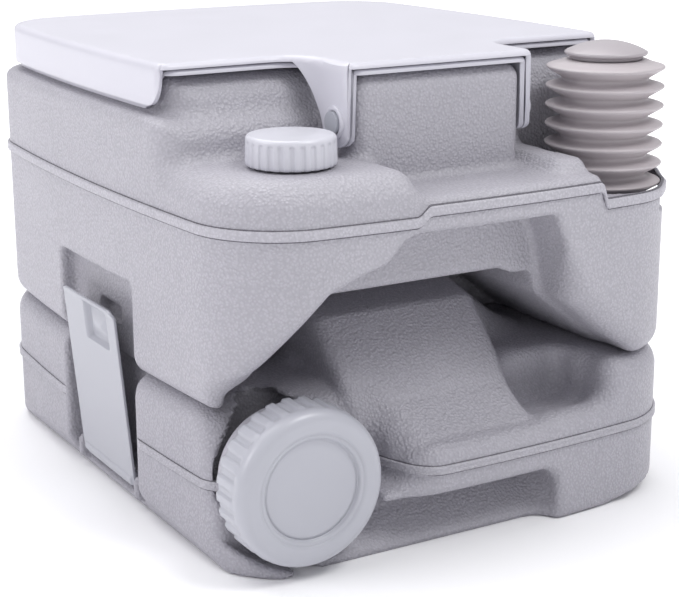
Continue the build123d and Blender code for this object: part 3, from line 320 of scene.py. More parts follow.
def piece(name, points, faces, material, body):
    """A smooth mesh object from points in millimetres, riding on a CAD body."""
    mesh = bpy.data.meshes.new(name)
    faces = faces.tolist() if isinstance(faces, np.ndarray) else faces
    mesh.from_pydata((np.asarray(points) * MM).tolist(), [], faces)
    mesh.materials.append(material)
    mesh.polygons.foreach_set("use_smooth", [True] * len(mesh.polygons))
    mesh.update()
    made = bpy.data.objects.new(name, mesh)
    bpy.context.scene.collection.objects.link(made)
    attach(made, body)
    return made


arch = [
    (-57, 193), (-68, 181), (-86, 175), (-103, 167), (-124, 140), (-152, 106),
    (-152, 60), (112, 60), (104, 102), (62, 138), (58, 160), (54, 178), (46, 196), (-51, 196),
]


def fresh_tank_form(x, y, z):
    """The tank's outside: bowed block with raised shoulder, seat body and hinge block joined on,
    then arch, tunnel, pump corner, pockets and bowl taken out, every edge rounded."""
    form = block(x, y, z, split_z, deck_z, low=13, high=9)
    left = round_meet(x - shoulder_end_x, y - seat_body_y - 30, 10)
    form = round_join(form, round_meet(block(x, y, z, lobe_root_z, shoulder_z, high=19), left, 12), 9)
    lower_stage = round_meet(block(x, y, z, lobe_root_z, side_wall_z, high=6), seat_body_y - 12 - y, 16)
    form = round_join(form, lower_stage, 9)
    rim = round_meet(block(x, y, z, deck_z - 20, rim_z, rim_inset, high=4), seat_body_y - y, 20)
    form = round_join(form, rim, 7)
    hinge_block = brick(x, y, z, (-hinge_block_half, hinge_y - hinge_block_front, deck_z - 40),
                        (hinge_block_half, seat_body_y + 30, top_z), 9)
    form = round_join(form, hinge_block, 6)
    lump = brick(x, y, z, (66, near + 22, deck_z - 40), (96, seat_body_y + 20, deck_z + 8), 8)
    form = np.maximum(round_join(form, lump, 8), plan(x, y))
    recess = round_meet(outline(x, z, arch, 4), y - (near + recess_depth), 4)
    form = round_cut(form, recess, 3 + 17 * ease((186 - z) / 50))
    undercut = round_meet(outline(x, z, arch, 0), z - tunnel_top_z, 4)
    form = round_cut(form, round_meet(undercut, y - (near + undercut_depth), 5), 3)
    tunnel = outline(x, z, [(tunnel_left_x, 0), (tunnel_left_x, tunnel_top_z), (34, tunnel_top_z),
                            (tunnel_right_x, split_z + 1), (tunnel_right_x, 0)], 4)
    form = round_cut(form, round_meet(tunnel, y - seat_body_y - tunnel_overrun, 5), 5)
    headroom = brick(x, y, z, (-far, -far, -far), (-62, near + 46, split_z + 16), 12)
    form = round_cut(form, headroom, 10)
    corner = brick(x, y, z, (pump_corner_x, -far, pump_corner_z), (far, near + pump_corner_depth, far), 6)
    form = round_cut(form, corner, 3)
    well = round_meet(np.hypot(x - pump_x, y - pump_y) - well_radius, well_floor_z - z, 3)
    form = round_cut(form, well, 2.5)
    side = np.abs(x)
    pocket = brick(side, y, z, (half_width - pocket_depth, latch_y - pocket_half, -far),
                   (far, latch_y + pocket_half, pocket_top_z), 5)
    form = round_cut(form, pocket, 3)
    hook_slot = brick(side, y, z, (half_width - slot_depth, latch_y - slot_half, slot_low_z),
                      (far, latch_y + slot_half, slot_high_z), 2)
    form = round_cut(form, hook_slot, 1.2)
    sockets = np.maximum(np.hypot(y - hinge_y, z - hinge_z) - socket_radius, socket_inner_x - side)
    form = np.maximum(form, -sockets)
    filler = np.hypot(x - filler_x, y - filler_y) - filler_radius
    form = np.maximum(form, -filler)
    rise = np.clip((z - throat_z) / (rim_z - throat_z), 0, 1)
    reach_x = throat_half + (bowl_half_x - throat_half) * rise
    reach_y = throat_half + (bowl_half_y - throat_half) * rise
    ring = np.hypot(x / reach_x, (y - port_y - (bowl_y - port_y) * rise) / reach_y)
    return np.maximum(form, (1 - ring) * reach_x * 0.85)


def grained(name, light, dark):
    """Leather-grained HDPE: rounded pebbles a couple of millimetres wide over fine specks, with
    slow clouds of tint and a slightly shinier crown on each pebble. The colour is painted lighter
    on each crown and darker between the pebbles: painted highlight and painted shade on the grain."""
    material, tree, shader = new_material(name)
    coord = node(tree, "ShaderNodeTexCoord").outputs["Object"]
    pebble_mm, speck_mm, cloud_mm = 1.8, 0.5, 70.0
    warp = node(tree, "ShaderNodeTexNoise", Vector=coord, Scale=1 / (4 * pebble_mm * MM), Detail=1.0)
    bent = node(tree, "ShaderNodeVectorMath", {"operation": "MULTIPLY_ADD"}, i0=warp.outputs["Color"],
                i1=(0.7 * pebble_mm * MM,) * 3, i2=coord)
    pebbles = node(tree, "ShaderNodeTexVoronoi", {"feature": "SMOOTH_F1"}, Vector=bent.outputs[0],
                   Scale=1 / (pebble_mm * MM), Smoothness=0.35, Randomness=1.0)
    specks = node(tree, "ShaderNodeTexNoise", Vector=coord, Scale=1 / (speck_mm * MM), Detail=1.0)
    clouds = node(tree, "ShaderNodeTexNoise", Vector=coord, Scale=1 / (cloud_mm * MM), Detail=2.0)
    crown = node(tree, "ShaderNodeMath", {"operation": "SUBTRACT"}, i0=1.0, i1=pebbles.outputs["Distance"])
    grain = node(tree, "ShaderNodeMath", {"operation": "MULTIPLY_ADD"}, i0=specks.outputs["Fac"],
                 i1=0.2, i2=crown.outputs[0])
    tint = node(tree, "ShaderNodeMix", {"data_type": "RGBA"}, i0=clouds.outputs["Fac"],
                i6=linear(dark), i7=linear(light))
    # Painted highlight and shade: the base colour is lightened on each pebble's crown and darkened between
    # pebbles.
    shade = node(tree, "ShaderNodeMapRange", Value=crown.outputs[0], From_Min=0.4, From_Max=0.95,
                 To_Min=0.88, To_Max=1.07)
    tint_with_painted_pebble_shade = node(tree, "ShaderNodeVectorMath", {"operation": "SCALE"}, i0=tint.outputs[2],
                   Scale=shade.outputs[0])
    bump = node(tree, "ShaderNodeBump", Height=grain.outputs[0], Strength=1.0, Distance=0.00062)
    rough = node(tree, "ShaderNodeMapRange", Value=crown.outputs[0], To_Min=0.58, To_Max=0.3)
    tree.links.new(tint_with_painted_pebble_shade.outputs[0], shader.inputs["Base Color"])
    tree.links.new(rough.outputs[0], shader.inputs["Roughness"])
    tree.links.new(bump.outputs[0], shader.inputs["Normal"])
    shader.inputs["IOR"].default_value = 1.5
    return material


filler_x, filler_y = joint_at["filler_cap_turn"][:2]
filler_radius = (box_mm("filler_neck")[1] - box_mm("filler_neck")[0])[0] / 2 - 5
tank_grain = grained("grained_hdpe", "#b7b5bd", "#afadb5")
grid_step = 3.0
points, faces = skin(fresh_tank_form, tank_low, tank_high, grid_step)
fresh_tank = piece("fresh_tank_shell", points, faces, tank_grain, "upper")
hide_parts("fresh_tank_lower", "fresh_tank_upper")


def belt(waypoints, height, form, profile, material, body, name, ends=0.0):
    """A raised band along a tank: waypoints are joined by straight runs, rounded by a running
    mean, pushed level onto the tank's surface at their height, and given the band's profile of
    (outward, upward) steps. With ends set, the band tapers away over that length at both ends."""
    route = np.array(waypoints, float)
    length = np.concatenate([[0], np.cumsum(np.hypot(*np.diff(route, axis=0).T))])
    at = np.linspace(0, length[-1], int(length[-1] / 1.6))
    flat = np.stack([np.interp(at, length, route[:, k]) for k in (0, 1)], 1)
    points = settle(np.column_stack([flat, height(*flat.T)]), form, 4.0, 12, level=True)
    kernel = np.ones(5) / 5
    for k in (0, 1):
        padded = np.pad(points[:, k], 2, mode="edge")
        points[:, k] = np.convolve(padded, kernel, "valid")
    along = np.gradient(points[:, :2], axis=0)
    along /= np.maximum(np.linalg.norm(along, axis=1, keepdims=True), 1e-9)
    outward = np.stack([along[:, 1], -along[:, 0], np.zeros(len(along))], 1)
    fade = np.minimum(1, np.minimum(at, at[-1] - at) / ends) if ends else np.ones(len(at))
    steps = np.array(profile, float)
    rows = points[:, None] + outward[:, None] * (steps[:, 0] * fade[:, None])[..., None]
    rows[..., 2] += steps[:, 1]
    n, m = rows.shape[:2]
    index = np.arange(n * m).reshape(n, m)
    quads = np.stack([index[:-1, :-1], index[:-1, 1:], index[1:, 1:], index[1:, :-1]], -1).reshape(-1, 4)
    return piece(name, rows.reshape(-1, 3), quads, material, body)


bead_z, bead_rise, bead_drop = 207.0, 6.0, 11.0


def upper_bead_height(x, y):
    """Level round the walls; on the near face higher along the deck, then down past the pump."""
    facing = ease((-150 - y) / 20)
    return bead_z + facing * (bead_rise * ease((x + 52) / 10) - bead_drop * ease((x - 84) / 5))


band = [(-1.5, -3.0), (0.6, -3.0), (1.7, -2.6), (1.95, -1.9), (1.8, 0),
        (1.95, 1.9), (1.7, 2.6), (0.6, 3.0), (-1.5, 3.0)]
w, d = half_width, half_depth
around = [(-2, d), (w - 30, d - 10), (w - 8, d - 40), (w, 0), (w - 8, 40 - d), (w - 30, 10 - d), (92, 4 - d),
          (82, 3 - d), (0, -d), (-60, 2 - d), (30 - w, 10 - d), (8 - w, 40 - d), (-w, 0), (8 - w, d - 40),
          (30 - w, d - 10), (2, d)]
weld_band = grained("grained_hdpe_weld", "#bfbdc5", "#b7b5bd")
# A dark strip lies just behind the bead and shows above and below it: painted shadow along the bead's edges.
bead_edge_shadow = grained("grained_hdpe_bead_edge_shadow", "#6d6b73", "#65636b")
belt(around[::-1], upper_bead_height, fresh_tank_form, band, weld_band, "upper", "fresh_tank_bead")
edge_shadow_profile = [(-1.5, -3.7), (0.3, -3.7), (0.3, 3.7), (-1.5, 3.7)]
belt(around[::-1], upper_bead_height, fresh_tank_form, edge_shadow_profile, bead_edge_shadow, "upper", "fresh_tank_bead_edge_shadow")

# ==== Waste tank ===============================================================================
# The lower tank: grained HDPE halves with a double-ridged weld bead, a rolled carry bar with a
# finger cove under it, a broad hump that rises behind the bar into the upper tank, the round
# spout recess at the left, latch grooves in both sides and the valve well on top.
waste_nodes = ("waste_tank_lower", "waste_tank_upper")
waste_low, waste_high = box_mm(*waste_nodes)
cap_x, _, cap_z = joint_at["waste_cap_turn"]
cap_low, cap_high = box_mm("waste_cap")
cap_radius = (cap_high[0] - cap_low[0]) / 2
spout_face = near + 42.0
well_z = split_z - 18.0
bar_z, hump_top_z, hump_left_x, hump_right_x = 68.0, 138.0, -74.0, 50.0
cove_z, cove_right_x, cove_depth = 33.0, 57.0, 35.0
right_chamfer_x, right_chamfer_run = 93.0, 6.6
left_chamfer_x, left_chamfer_run = 160.0, 0.62
groove_depth, lug_length = 16.0, 6.0
seal_well_half, garage_half, channel_half = 66.0, 54.0, 41.0


def waste_tank_form(x, y, z):
    """The tank's outside: bowed block and hump, with the slope over the carry bar, the pocket
    beside the hump, spout recess, finger cove, chamfers, grooves and valve well taken out."""
    side = np.abs(x)
    form = block(x, y, z, 0, split_z, low=3, high=14)
    flank = outline(x, z, [(-73, 40), (-73, 132), (-66, hump_top_z), (42, hump_top_z), (54, 128),
                           (94, 96), (94, 40)], 2)
    ridge = round_meet(round_meet(flank, seat_body_y - 8 - y, 20), y - seat_body_y - 44, 8)
    form = round_join(form, ridge, 14)
    slope = outline(y, z, [(-far, bar_z), (near + 19, bar_z + 1), (near + 24, bar_z - 3),
                           (near + 29, bar_z + 1), (near + 60, 102), (near + 92, 133),
                           (near + 118, 146), (near + 118, far), (-far, far)], 2)
    slope = round_meet(slope, x - hump_right_x - 0.25 * (z - 66), 8)
    ramp = outline(y, z, [(near + 17, 40), (near + 17, bar_z), (near + 40, 84), (near + 84, 131),
                          (near + 112, hump_top_z), (near + 150, hump_top_z), (near + 150, 40)], 2)
    ramp = round_meet(round_meet(ramp, hump_left_x - x, 8), x - hump_right_x + 2, 10)
    form = round_join(round_cut(form, slope, 13), ramp, 4)
    pocket = brick(x, y, z, (hump_right_x - 4, near + 19, bar_z - 4), (96, near + 56, far), 12)
    over_bar = brick(x, y, z, (hump_right_x, -far, bar_z + 2), (98, near + 40, far), 12)
    form = round_cut(round_cut(form, over_bar, 12), pocket, 7)
    recess_right_x = -46 - 10 * ease((y - near) / 40)
    recess = brick(x, y, z, (-far, -far, 42), (recess_right_x, spout_face, far), 10)
    form = round_cut(form, recess, 16)
    scoop = np.maximum(np.hypot(x - cap_x, z - cap_z) - cap_radius - 4, y - spout_face)
    form = round_cut(form, scoop, 5)
    cove = outline(y, z, [(-far, cove_z), (near + cove_depth, cove_z), (near + cove_depth - 4, 24),
                          (near + 8, 0), (near + 8, -60), (-far, -60)], 3)
    cove = round_meet(round_meet(cove, x - cove_right_x, 14), cap_x - x, 5)
    form = round_cut(form, cove, 4)
    right_chamfer = (side - right_chamfer_x - right_chamfer_run * z) / 6.67
    left_chamfer = (side - left_chamfer_x - left_chamfer_run * z) / 1.18
    form = round_meet(form, np.where(x > 0, right_chamfer, left_chamfer), 1.5)
    groove = brick(side, y, z, (half_width - groove_depth, latch_y - pocket_half, 8),
                   (far, latch_y + pocket_half, far), 5)
    form = round_cut(form, groove, 3)
    for y0 in (-57, 37):
        lug = brick(side, y, z, (half_width - 14, y0, 7), (half_width - 4, y0 + lug_length, 23), 1.5)
        form = np.minimum(form, lug)
    well = brick(x, y, z, (-70, port_y - seal_well_half, well_z), (70, port_y + seal_well_half, far), 1)
    garage = brick(x, y, z, (-garage_half, port_y, well_z), (garage_half, port_y + 152, far), 1)
    channel = brick(x, y, z, (-channel_half, port_y, well_z), (channel_half, far, far), 1)
    form = round_cut(form, np.minimum(np.minimum(well, garage), channel), 1.5)
    inside = brick(x, y, z, (-120, near + 56, 8), (120, 150, 70), 18)
    bore = np.maximum(np.hypot(x - cap_x, z - cap_z) - 40, y - spout_face - 40)
    port = np.maximum(np.hypot(x, y - port_y) - 44, 40 - z)
    return np.maximum(form, -np.minimum(np.minimum(inside, bore), port))


waste_grain = grained("grained_hdpe_waste", "#b0aeb6", "#a8a6af")
points, faces = skin(waste_tank_form, waste_low, waste_high, grid_step * 0.95)
waste_tank = piece("waste_tank_shell", points, faces, waste_grain, "waste_base")
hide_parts(*waste_nodes)


waste_bead_z = 52.0


def waste_bead_height(x, y):
    """The bead is level."""
    return np.full(np.shape(x), waste_bead_z)


ridges = [(-1.5, -2.7), (0.9, -2.6), (1.8, -1.9), (0.7, -0.7),
          (0.7, 0.7), (1.8, 1.9), (0.9, 2.6), (-1.5, 2.7)]
# The dark strips behind the waste tank's bead are painted shadow along its edges.
edge_shadow_profile = [(-1.5, -3.3), (0.3, -3.3), (0.3, 3.3), (-1.5, 3.3)]
near_run = [(-w, -67), (5 - w, 70 - d), (12 - w, spout_face - 4), (-150, spout_face - 2),
            (-58, spout_face - 1), (-50, spout_face - 18), (-36, 3 - d), (0, -d), (w - 30, 10 - d),
            (w - 8, 40 - d), (w - 1, -67)]
far_run = [(w, 53), (w - 8, d - 40), (w - 30, d - 10), (0, d), (30 - w, d - 10), (8 - w, d - 40),
           (-w, 53)]
for run, where in ((near_run, "near"), (far_run, "far")):
    belt(run, waste_bead_height, waste_tank_form, ridges, weld_band, "waste_base", f"waste_bead_{where}", 6)
    belt(run, waste_bead_height, waste_tank_form, edge_shadow_profile, bead_edge_shadow, "waste_base",
         f"waste_bead_edge_shadow_{where}", 6)

# ==== Lid ======================================================================================
# A smooth satin polypropylene cover with rolled edges and a skirt on three sides. Its near edge is
# bare at the left and right and sweeps down as a flared flange into the two hinge ears.
_, lid_high = box_mm("lid")
lid_wall = 3.0
cover_side_y = near + 107.5
ear_nose = 15.0


def satin(name, colour, roughness, ripple):
    """Smooth moulded plastic: faint flow ripple, fine dust-like roughness and a thin clear coat."""
    material, tree, shader = new_material(name)
    coord = node(tree, "ShaderNodeTexCoord").outputs["Object"]
    flow_mm, fine_mm = 38.0, 0.5
    flow = node(tree, "ShaderNodeTexNoise", Vector=coord, Scale=1 / (flow_mm * MM), Detail=3.0)
    fine = node(tree, "ShaderNodeTexNoise", Vector=coord, Scale=1 / (fine_mm * MM), Detail=2.0)
    gloss = node(tree, "ShaderNodeMapRange", Value=flow.outputs["Fac"], To_Min=roughness - 0.05,
                 To_Max=roughness + 0.06)
    height = node(tree, "ShaderNodeMath", {"operation": "MULTIPLY_ADD"}, i0=flow.outputs["Fac"],
                  i1=ripple, i2=fine.outputs["Fac"])
    bump = node(tree, "ShaderNodeBump", Height=height.outputs[0], Strength=0.12, Distance=0.0004)
    shade = node(tree, "ShaderNodeHueSaturation", Color=linear(colour),
                 Value=node(tree, "ShaderNodeMapRange", Value=flow.outputs["Fac"], To_Min=0.97,
                            To_Max=1.03).outputs[0])
    tree.links.new(shade.outputs[0], shader.inputs["Base Color"])
    tree.links.new(gloss.outputs[0], shader.inputs["Roughness"])
    tree.links.new(bump.outputs[0], shader.inputs["Normal"])
    shader.inputs["IOR"].default_value = 1.49
    shader.inputs["Coat Weight"].default_value = 0.15
    shader.inputs["Coat Roughness"].default_value = 0.25
    return material


def grid_faces(rows, columns, closed_columns=False):
    """Quads of a grid of points numbered row by row, wrapped round where its columns close."""
    index = np.arange(rows * columns).reshape(rows, columns)
    if closed_columns:
        index = np.concatenate([index, index[:, :1]], 1)
    return np.stack([index[:-1, :-1], index[1:, :-1], index[1:, 1:], index[:-1, 1:]], -1).reshape(-1, 4)


def cover_outline(inset, tongue_half, corner, spacing=1.5):
    """Left half of a cover's plan, from the far side's middle round to the tongue's middle: the
    body's bowed plan moved in, cut off at the near side edge, then a fillet into the tongue."""
    angle = np.linspace(math.pi / 2, 1.5 * math.pi, 400)
    reach = np.full(angle.shape, 300.0)
    for _ in range(40):
        reach = reach - 0.7 * plan(reach * np.cos(angle), reach * np.sin(angle), inset)
    rim = np.stack([reach * np.cos(angle), reach * np.sin(angle)], 1)
    rim = rim[rim[:, 1] > cover_side_y]
    edge_x = rim[-1, 0]
    fillet, front = 20.0, hinge_y - 15.0
    turn = np.linspace(0, math.pi / 2, 12)
    arc = np.stack([-tongue_half - fillet * (1 - np.sin(turn)),
                    cover_side_y - fillet * (1 - np.cos(turn))], 1)
    path = np.concatenate([rim, [(edge_x, cover_side_y)], arc, [(-tongue_half, front), (0, front)]])
    length = np.concatenate([[0], np.cumsum(np.hypot(*np.diff(path, axis=0).T))])
    at = np.linspace(0, length[-1], int(length[-1] / spacing))
    path = np.stack([np.interp(at, length, path[:, k]) for k in (0, 1)], 1)
    reach = int(corner / spacing)
    kernel = np.ones(2 * reach + 1) / (2 * reach + 1)
    for k, sign in ((0, -1), (1, 1)):
        ends = [sign * path[reach:0:-1, k], sign * path[-2:-reach - 2:-1, k]]
        path[:, k] = np.convolve(np.concatenate([ends[0], path[:, k], ends[1]]), kernel, "valid")
    return path


def ear_bottom(y, top):
    """Height of a hinge ear's lower edge: a round nose on the pin, then up to the plate."""
    away = np.clip(y - hinge_y, -ear_nose, ear_nose)
    nose = hinge_z - np.sqrt(ear_nose ** 2 - away ** 2)
    climb = hinge_z + (y - hinge_y - ear_nose) * 1.6
    return np.minimum(np.where(y > hinge_y + ear_nose, climb, nose), top)


def cover(name, inset, top, skirt_bottom, tongue_half, roll, corner, hole, material, body):
    """A cover's outer surface: a flat top, one polygon or two round an oval hole with a rolled
    rim, then rings over the rolled edge of the outline and down to a lower edge whose height
    varies; all of it is then thickened."""
    half = cover_outline(inset, tongue_half, corner)
    path = np.concatenate([half, (half * (-1, 1))[-2:0:-1]])
    x, y = path.T
    along = np.roll(path, -1, 0) - np.roll(path, 1, 0)
    out = np.stack([along[:, 1], -along[:, 0]], 1)
    out /= np.linalg.norm(out, axis=1, keepdims=True)
    out *= np.sign((out * (path - (0, 40))).sum(1))[:, None]
    lip = top - 0.9 * roll
    bottom = skirt_bottom(x, y, lip)
    on_tongue = np.abs(x) < tongue_half + 19
    bottom = np.where(on_tongue & (y < cover_side_y - 0.5), np.minimum(lip, ear_bottom(y, lip)), bottom)
    bottom = np.where((np.abs(x) < tongue_half - 2) & (y < hinge_y), lip, bottom)
    drop = top - bottom
    bend = np.where(drop > roll, math.pi / 2, np.arccos(np.clip(1 - drop / roll, -1, 1)))
    run = roll * bend + np.maximum(drop - roll, 0)
    centre = path - out * roll
    rings = [np.column_stack([edge, np.full(len(x), top)]) for edge in (centre - 1.4 * out, centre)]
    for share in np.linspace(0, 1, 13)[1:]:
        gone = run * share
        turned = np.minimum(gone / roll, bend)
        level = top - roll * (1 - np.cos(turned)) - np.maximum(gone - roll * bend, 0)
        rings.append(np.column_stack([centre + out * (roll * np.sin(turned))[:, None], level]))
    rings = np.array(rings)
    faces = grid_faces(*rings.shape[:2], closed_columns=True).tolist()
    points = rings.reshape(-1, 3)
    n = len(x)
    if hole:
        count, hole_roll = 96, 5.0
        angle = math.pi / 2 + 2 * math.pi * np.arange(count) / count
        turn = np.linspace(0, math.pi / 2, 7)[:, None]
        grown = hole_roll * (1 - np.sin(turn))
        rims = [(hole[0] + grown) * np.cos(angle), bowl_y + (hole[1] + grown) * np.sin(angle),
                np.broadcast_to(top - hole_roll * (1 - np.cos(math.pi / 2 - turn)), (7, count))]
        rims = np.stack(rims, -1)
        inner = (len(points) + grid_faces(7, count, closed_columns=True))[:, ::-1]
        faces += inner.tolist()
        first = len(points)
        points = np.concatenate([points, rims.reshape(-1, 3)])
        split = n // 2
        left_hole = [first + k for k in range(count // 2 + 1)]
        right_hole = [first + k % count for k in range(count // 2, count + 1)]
        faces.append(left_hole[::-1] + list(range(0, split + 1)))
        faces.append(right_hole[::-1] + [k % n for k in range(split, n + 1)])
    else:
        faces.append(list(range(n)))
    made = piece(name, points, faces, material, body)
    shell = made.modifiers.new("wall", "SOLIDIFY")
    shell.thickness = -lid_wall * MM * 0.96
    shell.offset = 1.0
    shell.use_even_offset = False
    bevel = made.modifiers.new("edge", "BEVEL")
    bevel.width = 0.5 * MM
    bevel.segments = 2
    bevel.limit_method = "ANGLE"
    bevel.angle_limit = math.radians(50)
    return made


def lid_skirt(x, y, lip):
    """The lid's skirt ends near the front corners in a quarter-round and an upright edge."""
    fall = np.clip(y - cover_side_y - 3, 0, lid_skirt_radius)
    rounded = lid_skirt_z + lid_skirt_radius - np.sqrt(lid_skirt_radius ** 2 - (lid_skirt_radius - fall) ** 2)
    return np.where(y > cover_side_y + 2.5, rounded, lip)


lid_skirt_z, lid_skirt_radius = 267.5, 15.0
lid_satin = satin("satin_polypropylene", "#cdccd5", 0.36, 2.0)
lid_shell = cover("lid_shell", inset=7.5, top=lid_high[2], skirt_bottom=lid_skirt, tongue_half=68.0,
                  roll=4.0, corner=8.0, hole=None, material=lid_satin, body="lid")
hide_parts("lid")

# ==== Seat =====================================================================================
# The seat is nested under the lid and made like it, with an oval hole; its lip climbs in an S
# round the near corners of the tank's seat body, and its ears sit inside the lid's ears.
seat_top, seat_skirt_z = lid_high[2] - 4.2, 264.0


def seat_skirt(x, y, lip):
    """The seat's lower edge: level along the sides, then an S-curve up round the near corners."""
    climb = ease((cover_side_y + 30 - y) / 26)
    return seat_skirt_z + (lip - seat_skirt_z) * climb


seat_satin = satin("satin_polypropylene_seat", "#c6c5ce", 0.4, 2.0)
seat_shell = cover("seat_shell", inset=11.5, top=seat_top, skirt_bottom=seat_skirt, tongue_half=64.0,
                   roll=3.5, corner=9.0, hole=(99.0, 124.0), material=seat_satin, body="seat")
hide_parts("seat_ring")

# ==== Waste cap ================================================================================
# A thick screw cap with a smooth round rim, a shallow dished face with a stepped ring, and a
# skirt of blocky grip teeth that stops short of the rim.
cap_face_y = cap_low[1]


def lathe(profile, turns, shape):
    """A surface turned round an axis: profile is (radius, height) pairs, and shape moves each
    point's radius given its angle, radius and height. Returns radii, heights and angles."""
    radius, height = np.array(profile, float).T
    angle = np.linspace(0, 2 * math.pi, turns, endpoint=False)
    r, a = np.meshgrid(radius, angle, indexing="ij")
    h = np.broadcast_to(height[:, None], r.shape)
    return shape(a, r, h), h, a


def fine(profile, step):
    """A profile's corner points with extra points put in, so that none is more than step away."""
    profile = np.array(profile, float)
    out = [profile[:1]]
    for p, q in zip(profile[:-1], profile[1:]):
        n = max(1, int(np.hypot(*(q - p)) / step))
        out.append(p + (q - p) * np.linspace(0, 1, n + 1)[1:, None])
    return np.concatenate(out)


def arc_points(centre, radius, start, end, count=8):
    """Points on an arc in a profile plane, from one angle to another in degrees."""
    t = np.radians(np.linspace(start, end, count))
    return [(centre[0] + radius * math.cos(v), centre[1] + radius * math.sin(v)) for v in t]


grip_teeth = 28
rim_r = cap_radius - 1.6


def cap_teeth(angle, radius, depth):
    """Blocky teeth: the skirt's radius drops between them, with steep rounded flanks."""
    wave = np.sin(angle * grip_teeth)
    tooth = ease((wave + 0.35) / 0.5)
    zone = ease((depth - 9.0) / 2.0) * (radius > rim_r - 0.6)
    return radius + zone * (1.6 * tooth - 1.0)


cap_profile = [(0.01, 3.4), (30.4, 3.4), *arc_points((30.4, 2.6), 0.8, 90, 10, 4), (31.6, 1.4), (33.6, 1.2),
               *arc_points((36.6, 3.2), 3.2, 215, 270, 5), *arc_points((rim_r - 7.5, 7.5), 7.5, 270, 360, 10),
               (rim_r, 9), (rim_r, 29), (rim_r - 3.5, 29), (rim_r - 4.4, 20), (rim_r - 4.6, 10)]
r, h, a = lathe(fine(cap_profile, 1.6), grip_teeth * 12, cap_teeth)
points = np.stack([cap_x + r * np.cos(a), cap_face_y + h, cap_z + r * np.sin(a)], -1)
cap_satin = satin("satin_grey_cap", "#b3b4bc", 0.3, 1.0)
faces = grid_faces(*r.shape, closed_columns=True)[:, ::-1]
waste_cap = piece("waste_cap_body", points.reshape(-1, 3), faces, cap_satin, "waste_cap")
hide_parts("waste_cap")

# ==== Hinge bosses =============================================================================
# A low moulded ring stands out of each of the lid's ears, round the head of the hinge pin.
def plain(angle, radius, height):
    """A plain turned surface."""
    return radius


boss = [(7.3, 0.0), (7.3, 1.2), (7.7, 1.6), (9.6, 1.6), (10.2, 1.1), (10.3, 0.0)]
r, h, a = lathe(fine(boss, 1.0), 64, plain)
for side, name in ((-1, "left"), (1, "right")):
    points = np.stack([side * (67.6 + h), hinge_y + r * np.cos(a), hinge_z + r * np.sin(a)], -1)
    faces = grid_faces(*r.shape, closed_columns=True)
    piece(f"hinge_boss_{name}", points.reshape(-1, 3), faces if side > 0 else faces[:, ::-1], lid_satin,
          "lid")

# ==== Filler cap ===============================================================================
# The fresh-water cap: a slightly domed top with a soft edge over a skirt of round-topped flutes.
filler_low, filler_high = box_mm("filler_cap")
filler_cap_radius = (filler_high[0] - filler_low[0]) / 2
flutes = 26


def cap_flutes(angle, radius, height):
    """Flutes sunk into the skirt, each ending in a round arch under the top edge."""
    pitch = 2 * math.pi / flutes
    across = (np.mod(angle, pitch) - pitch / 2) * filler_cap_radius
    half = 1.9
    up = np.maximum(height - (filler_high[2] - 5.6), 0)
    inside = half - np.hypot(across, up)
    skirt = (radius > filler_cap_radius - 1.0) & (height < filler_high[2] - 2.5)
    return radius - 1.0 * ease(inside / 0.7) * skirt


top = filler_high[2]
filler_profile = [(0.01, top), (14, top - 0.25), (filler_cap_radius - 3.4, top - 0.9),
                  *arc_points((filler_cap_radius - 3.0, top - 3.4), 2.6, 80, 0, 6),
                  (filler_cap_radius - 0.3, top - 4), (filler_cap_radius, filler_low[2] + 1),
                  (filler_cap_radius - 0.6, filler_low[2]), (filler_cap_radius - 4, filler_low[2]),
                  (filler_cap_radius - 5, filler_low[2] + 10)]
r, h, a = lathe(fine(filler_profile, 0.8), flutes * 12, cap_flutes)
points = np.stack([filler_x + r * np.cos(a), filler_y + r * np.sin(a), h], -1)
filler_satin = satin("satin_light_cap", "#cbcbd3", 0.32, 1.0)
filler_cap = piece("filler_cap_body", points.reshape(-1, 3), grid_faces(*r.shape, closed_columns=True),
                   filler_satin, "filler_cap")
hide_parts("filler_cap")

# ==== Bellows pump =============================================================================
# Seven sharp-edged PVC convolutions with a flatter upper face than lower, under a domed push cap
# with a thin brim.
bellows_low, bellows_high = box_mm("pump_bellows")
_, dome_high = box_mm("pump_cap")
bellows_r = (bellows_high[0] - bellows_low[0]) / 2
foot_z = 197.0
folds = 7
pitch = (bellows_high[2] - foot_z) / folds
rings = [(bellows_r - 12, foot_z - 0.5)]
for i in range(folds):
    z = foot_z + i * pitch
    rings += [(bellows_r - 10, z + 0.6), (bellows_r - 9, z + 1.6), (bellows_r - 1.2, z + 6.2),
              (bellows_r - 0.2, z + 7.0), (bellows_r, z + 7.8), (bellows_r - 0.7, z + 8.5),
              (bellows_r - 8, z + 10.6), (bellows_r - 10, z + 11.6)]
rings += [(bellows_r - 12, bellows_high[2]), (0.01, bellows_high[2])]
r, h, a = lathe(fine(rings, 1.5)[::-1], 96, plain)
points = np.stack([pump_x + r * np.cos(a), pump_y + r * np.sin(a), h], -1)
bellows_pvc = satin("soft_grey_pvc", "#b8b1b4", 0.4, 3.0)
bellows = piece("bellows_body", points.reshape(-1, 3), grid_faces(*r.shape, closed_columns=True),
                bellows_pvc, "upper")
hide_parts("pump_bellows")
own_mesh(bellows)
dome_r, dome_rise, neck_r = 26.5, 7.0, 23.1
dome_z, neck_z = dome_high[2], bellows_high[2] + 0.3
sphere = (dome_r ** 2 + dome_rise ** 2) / (2 * dome_rise)
dome_profile = [(sphere * math.sin(t), dome_z - sphere * (1 - math.cos(t)))
                for t in np.linspace(0.0005, math.asin((dome_r - 1) / sphere), 12)]
dome_profile += [(dome_r, dome_z - 7.2), (dome_r, dome_z - 8.4), (dome_r - 0.8, dome_z - 9),
                 (dome_r - 2.6, dome_z - 9.2), (neck_r, dome_z - 10.5), (neck_r, neck_z), (0.01, neck_z)]
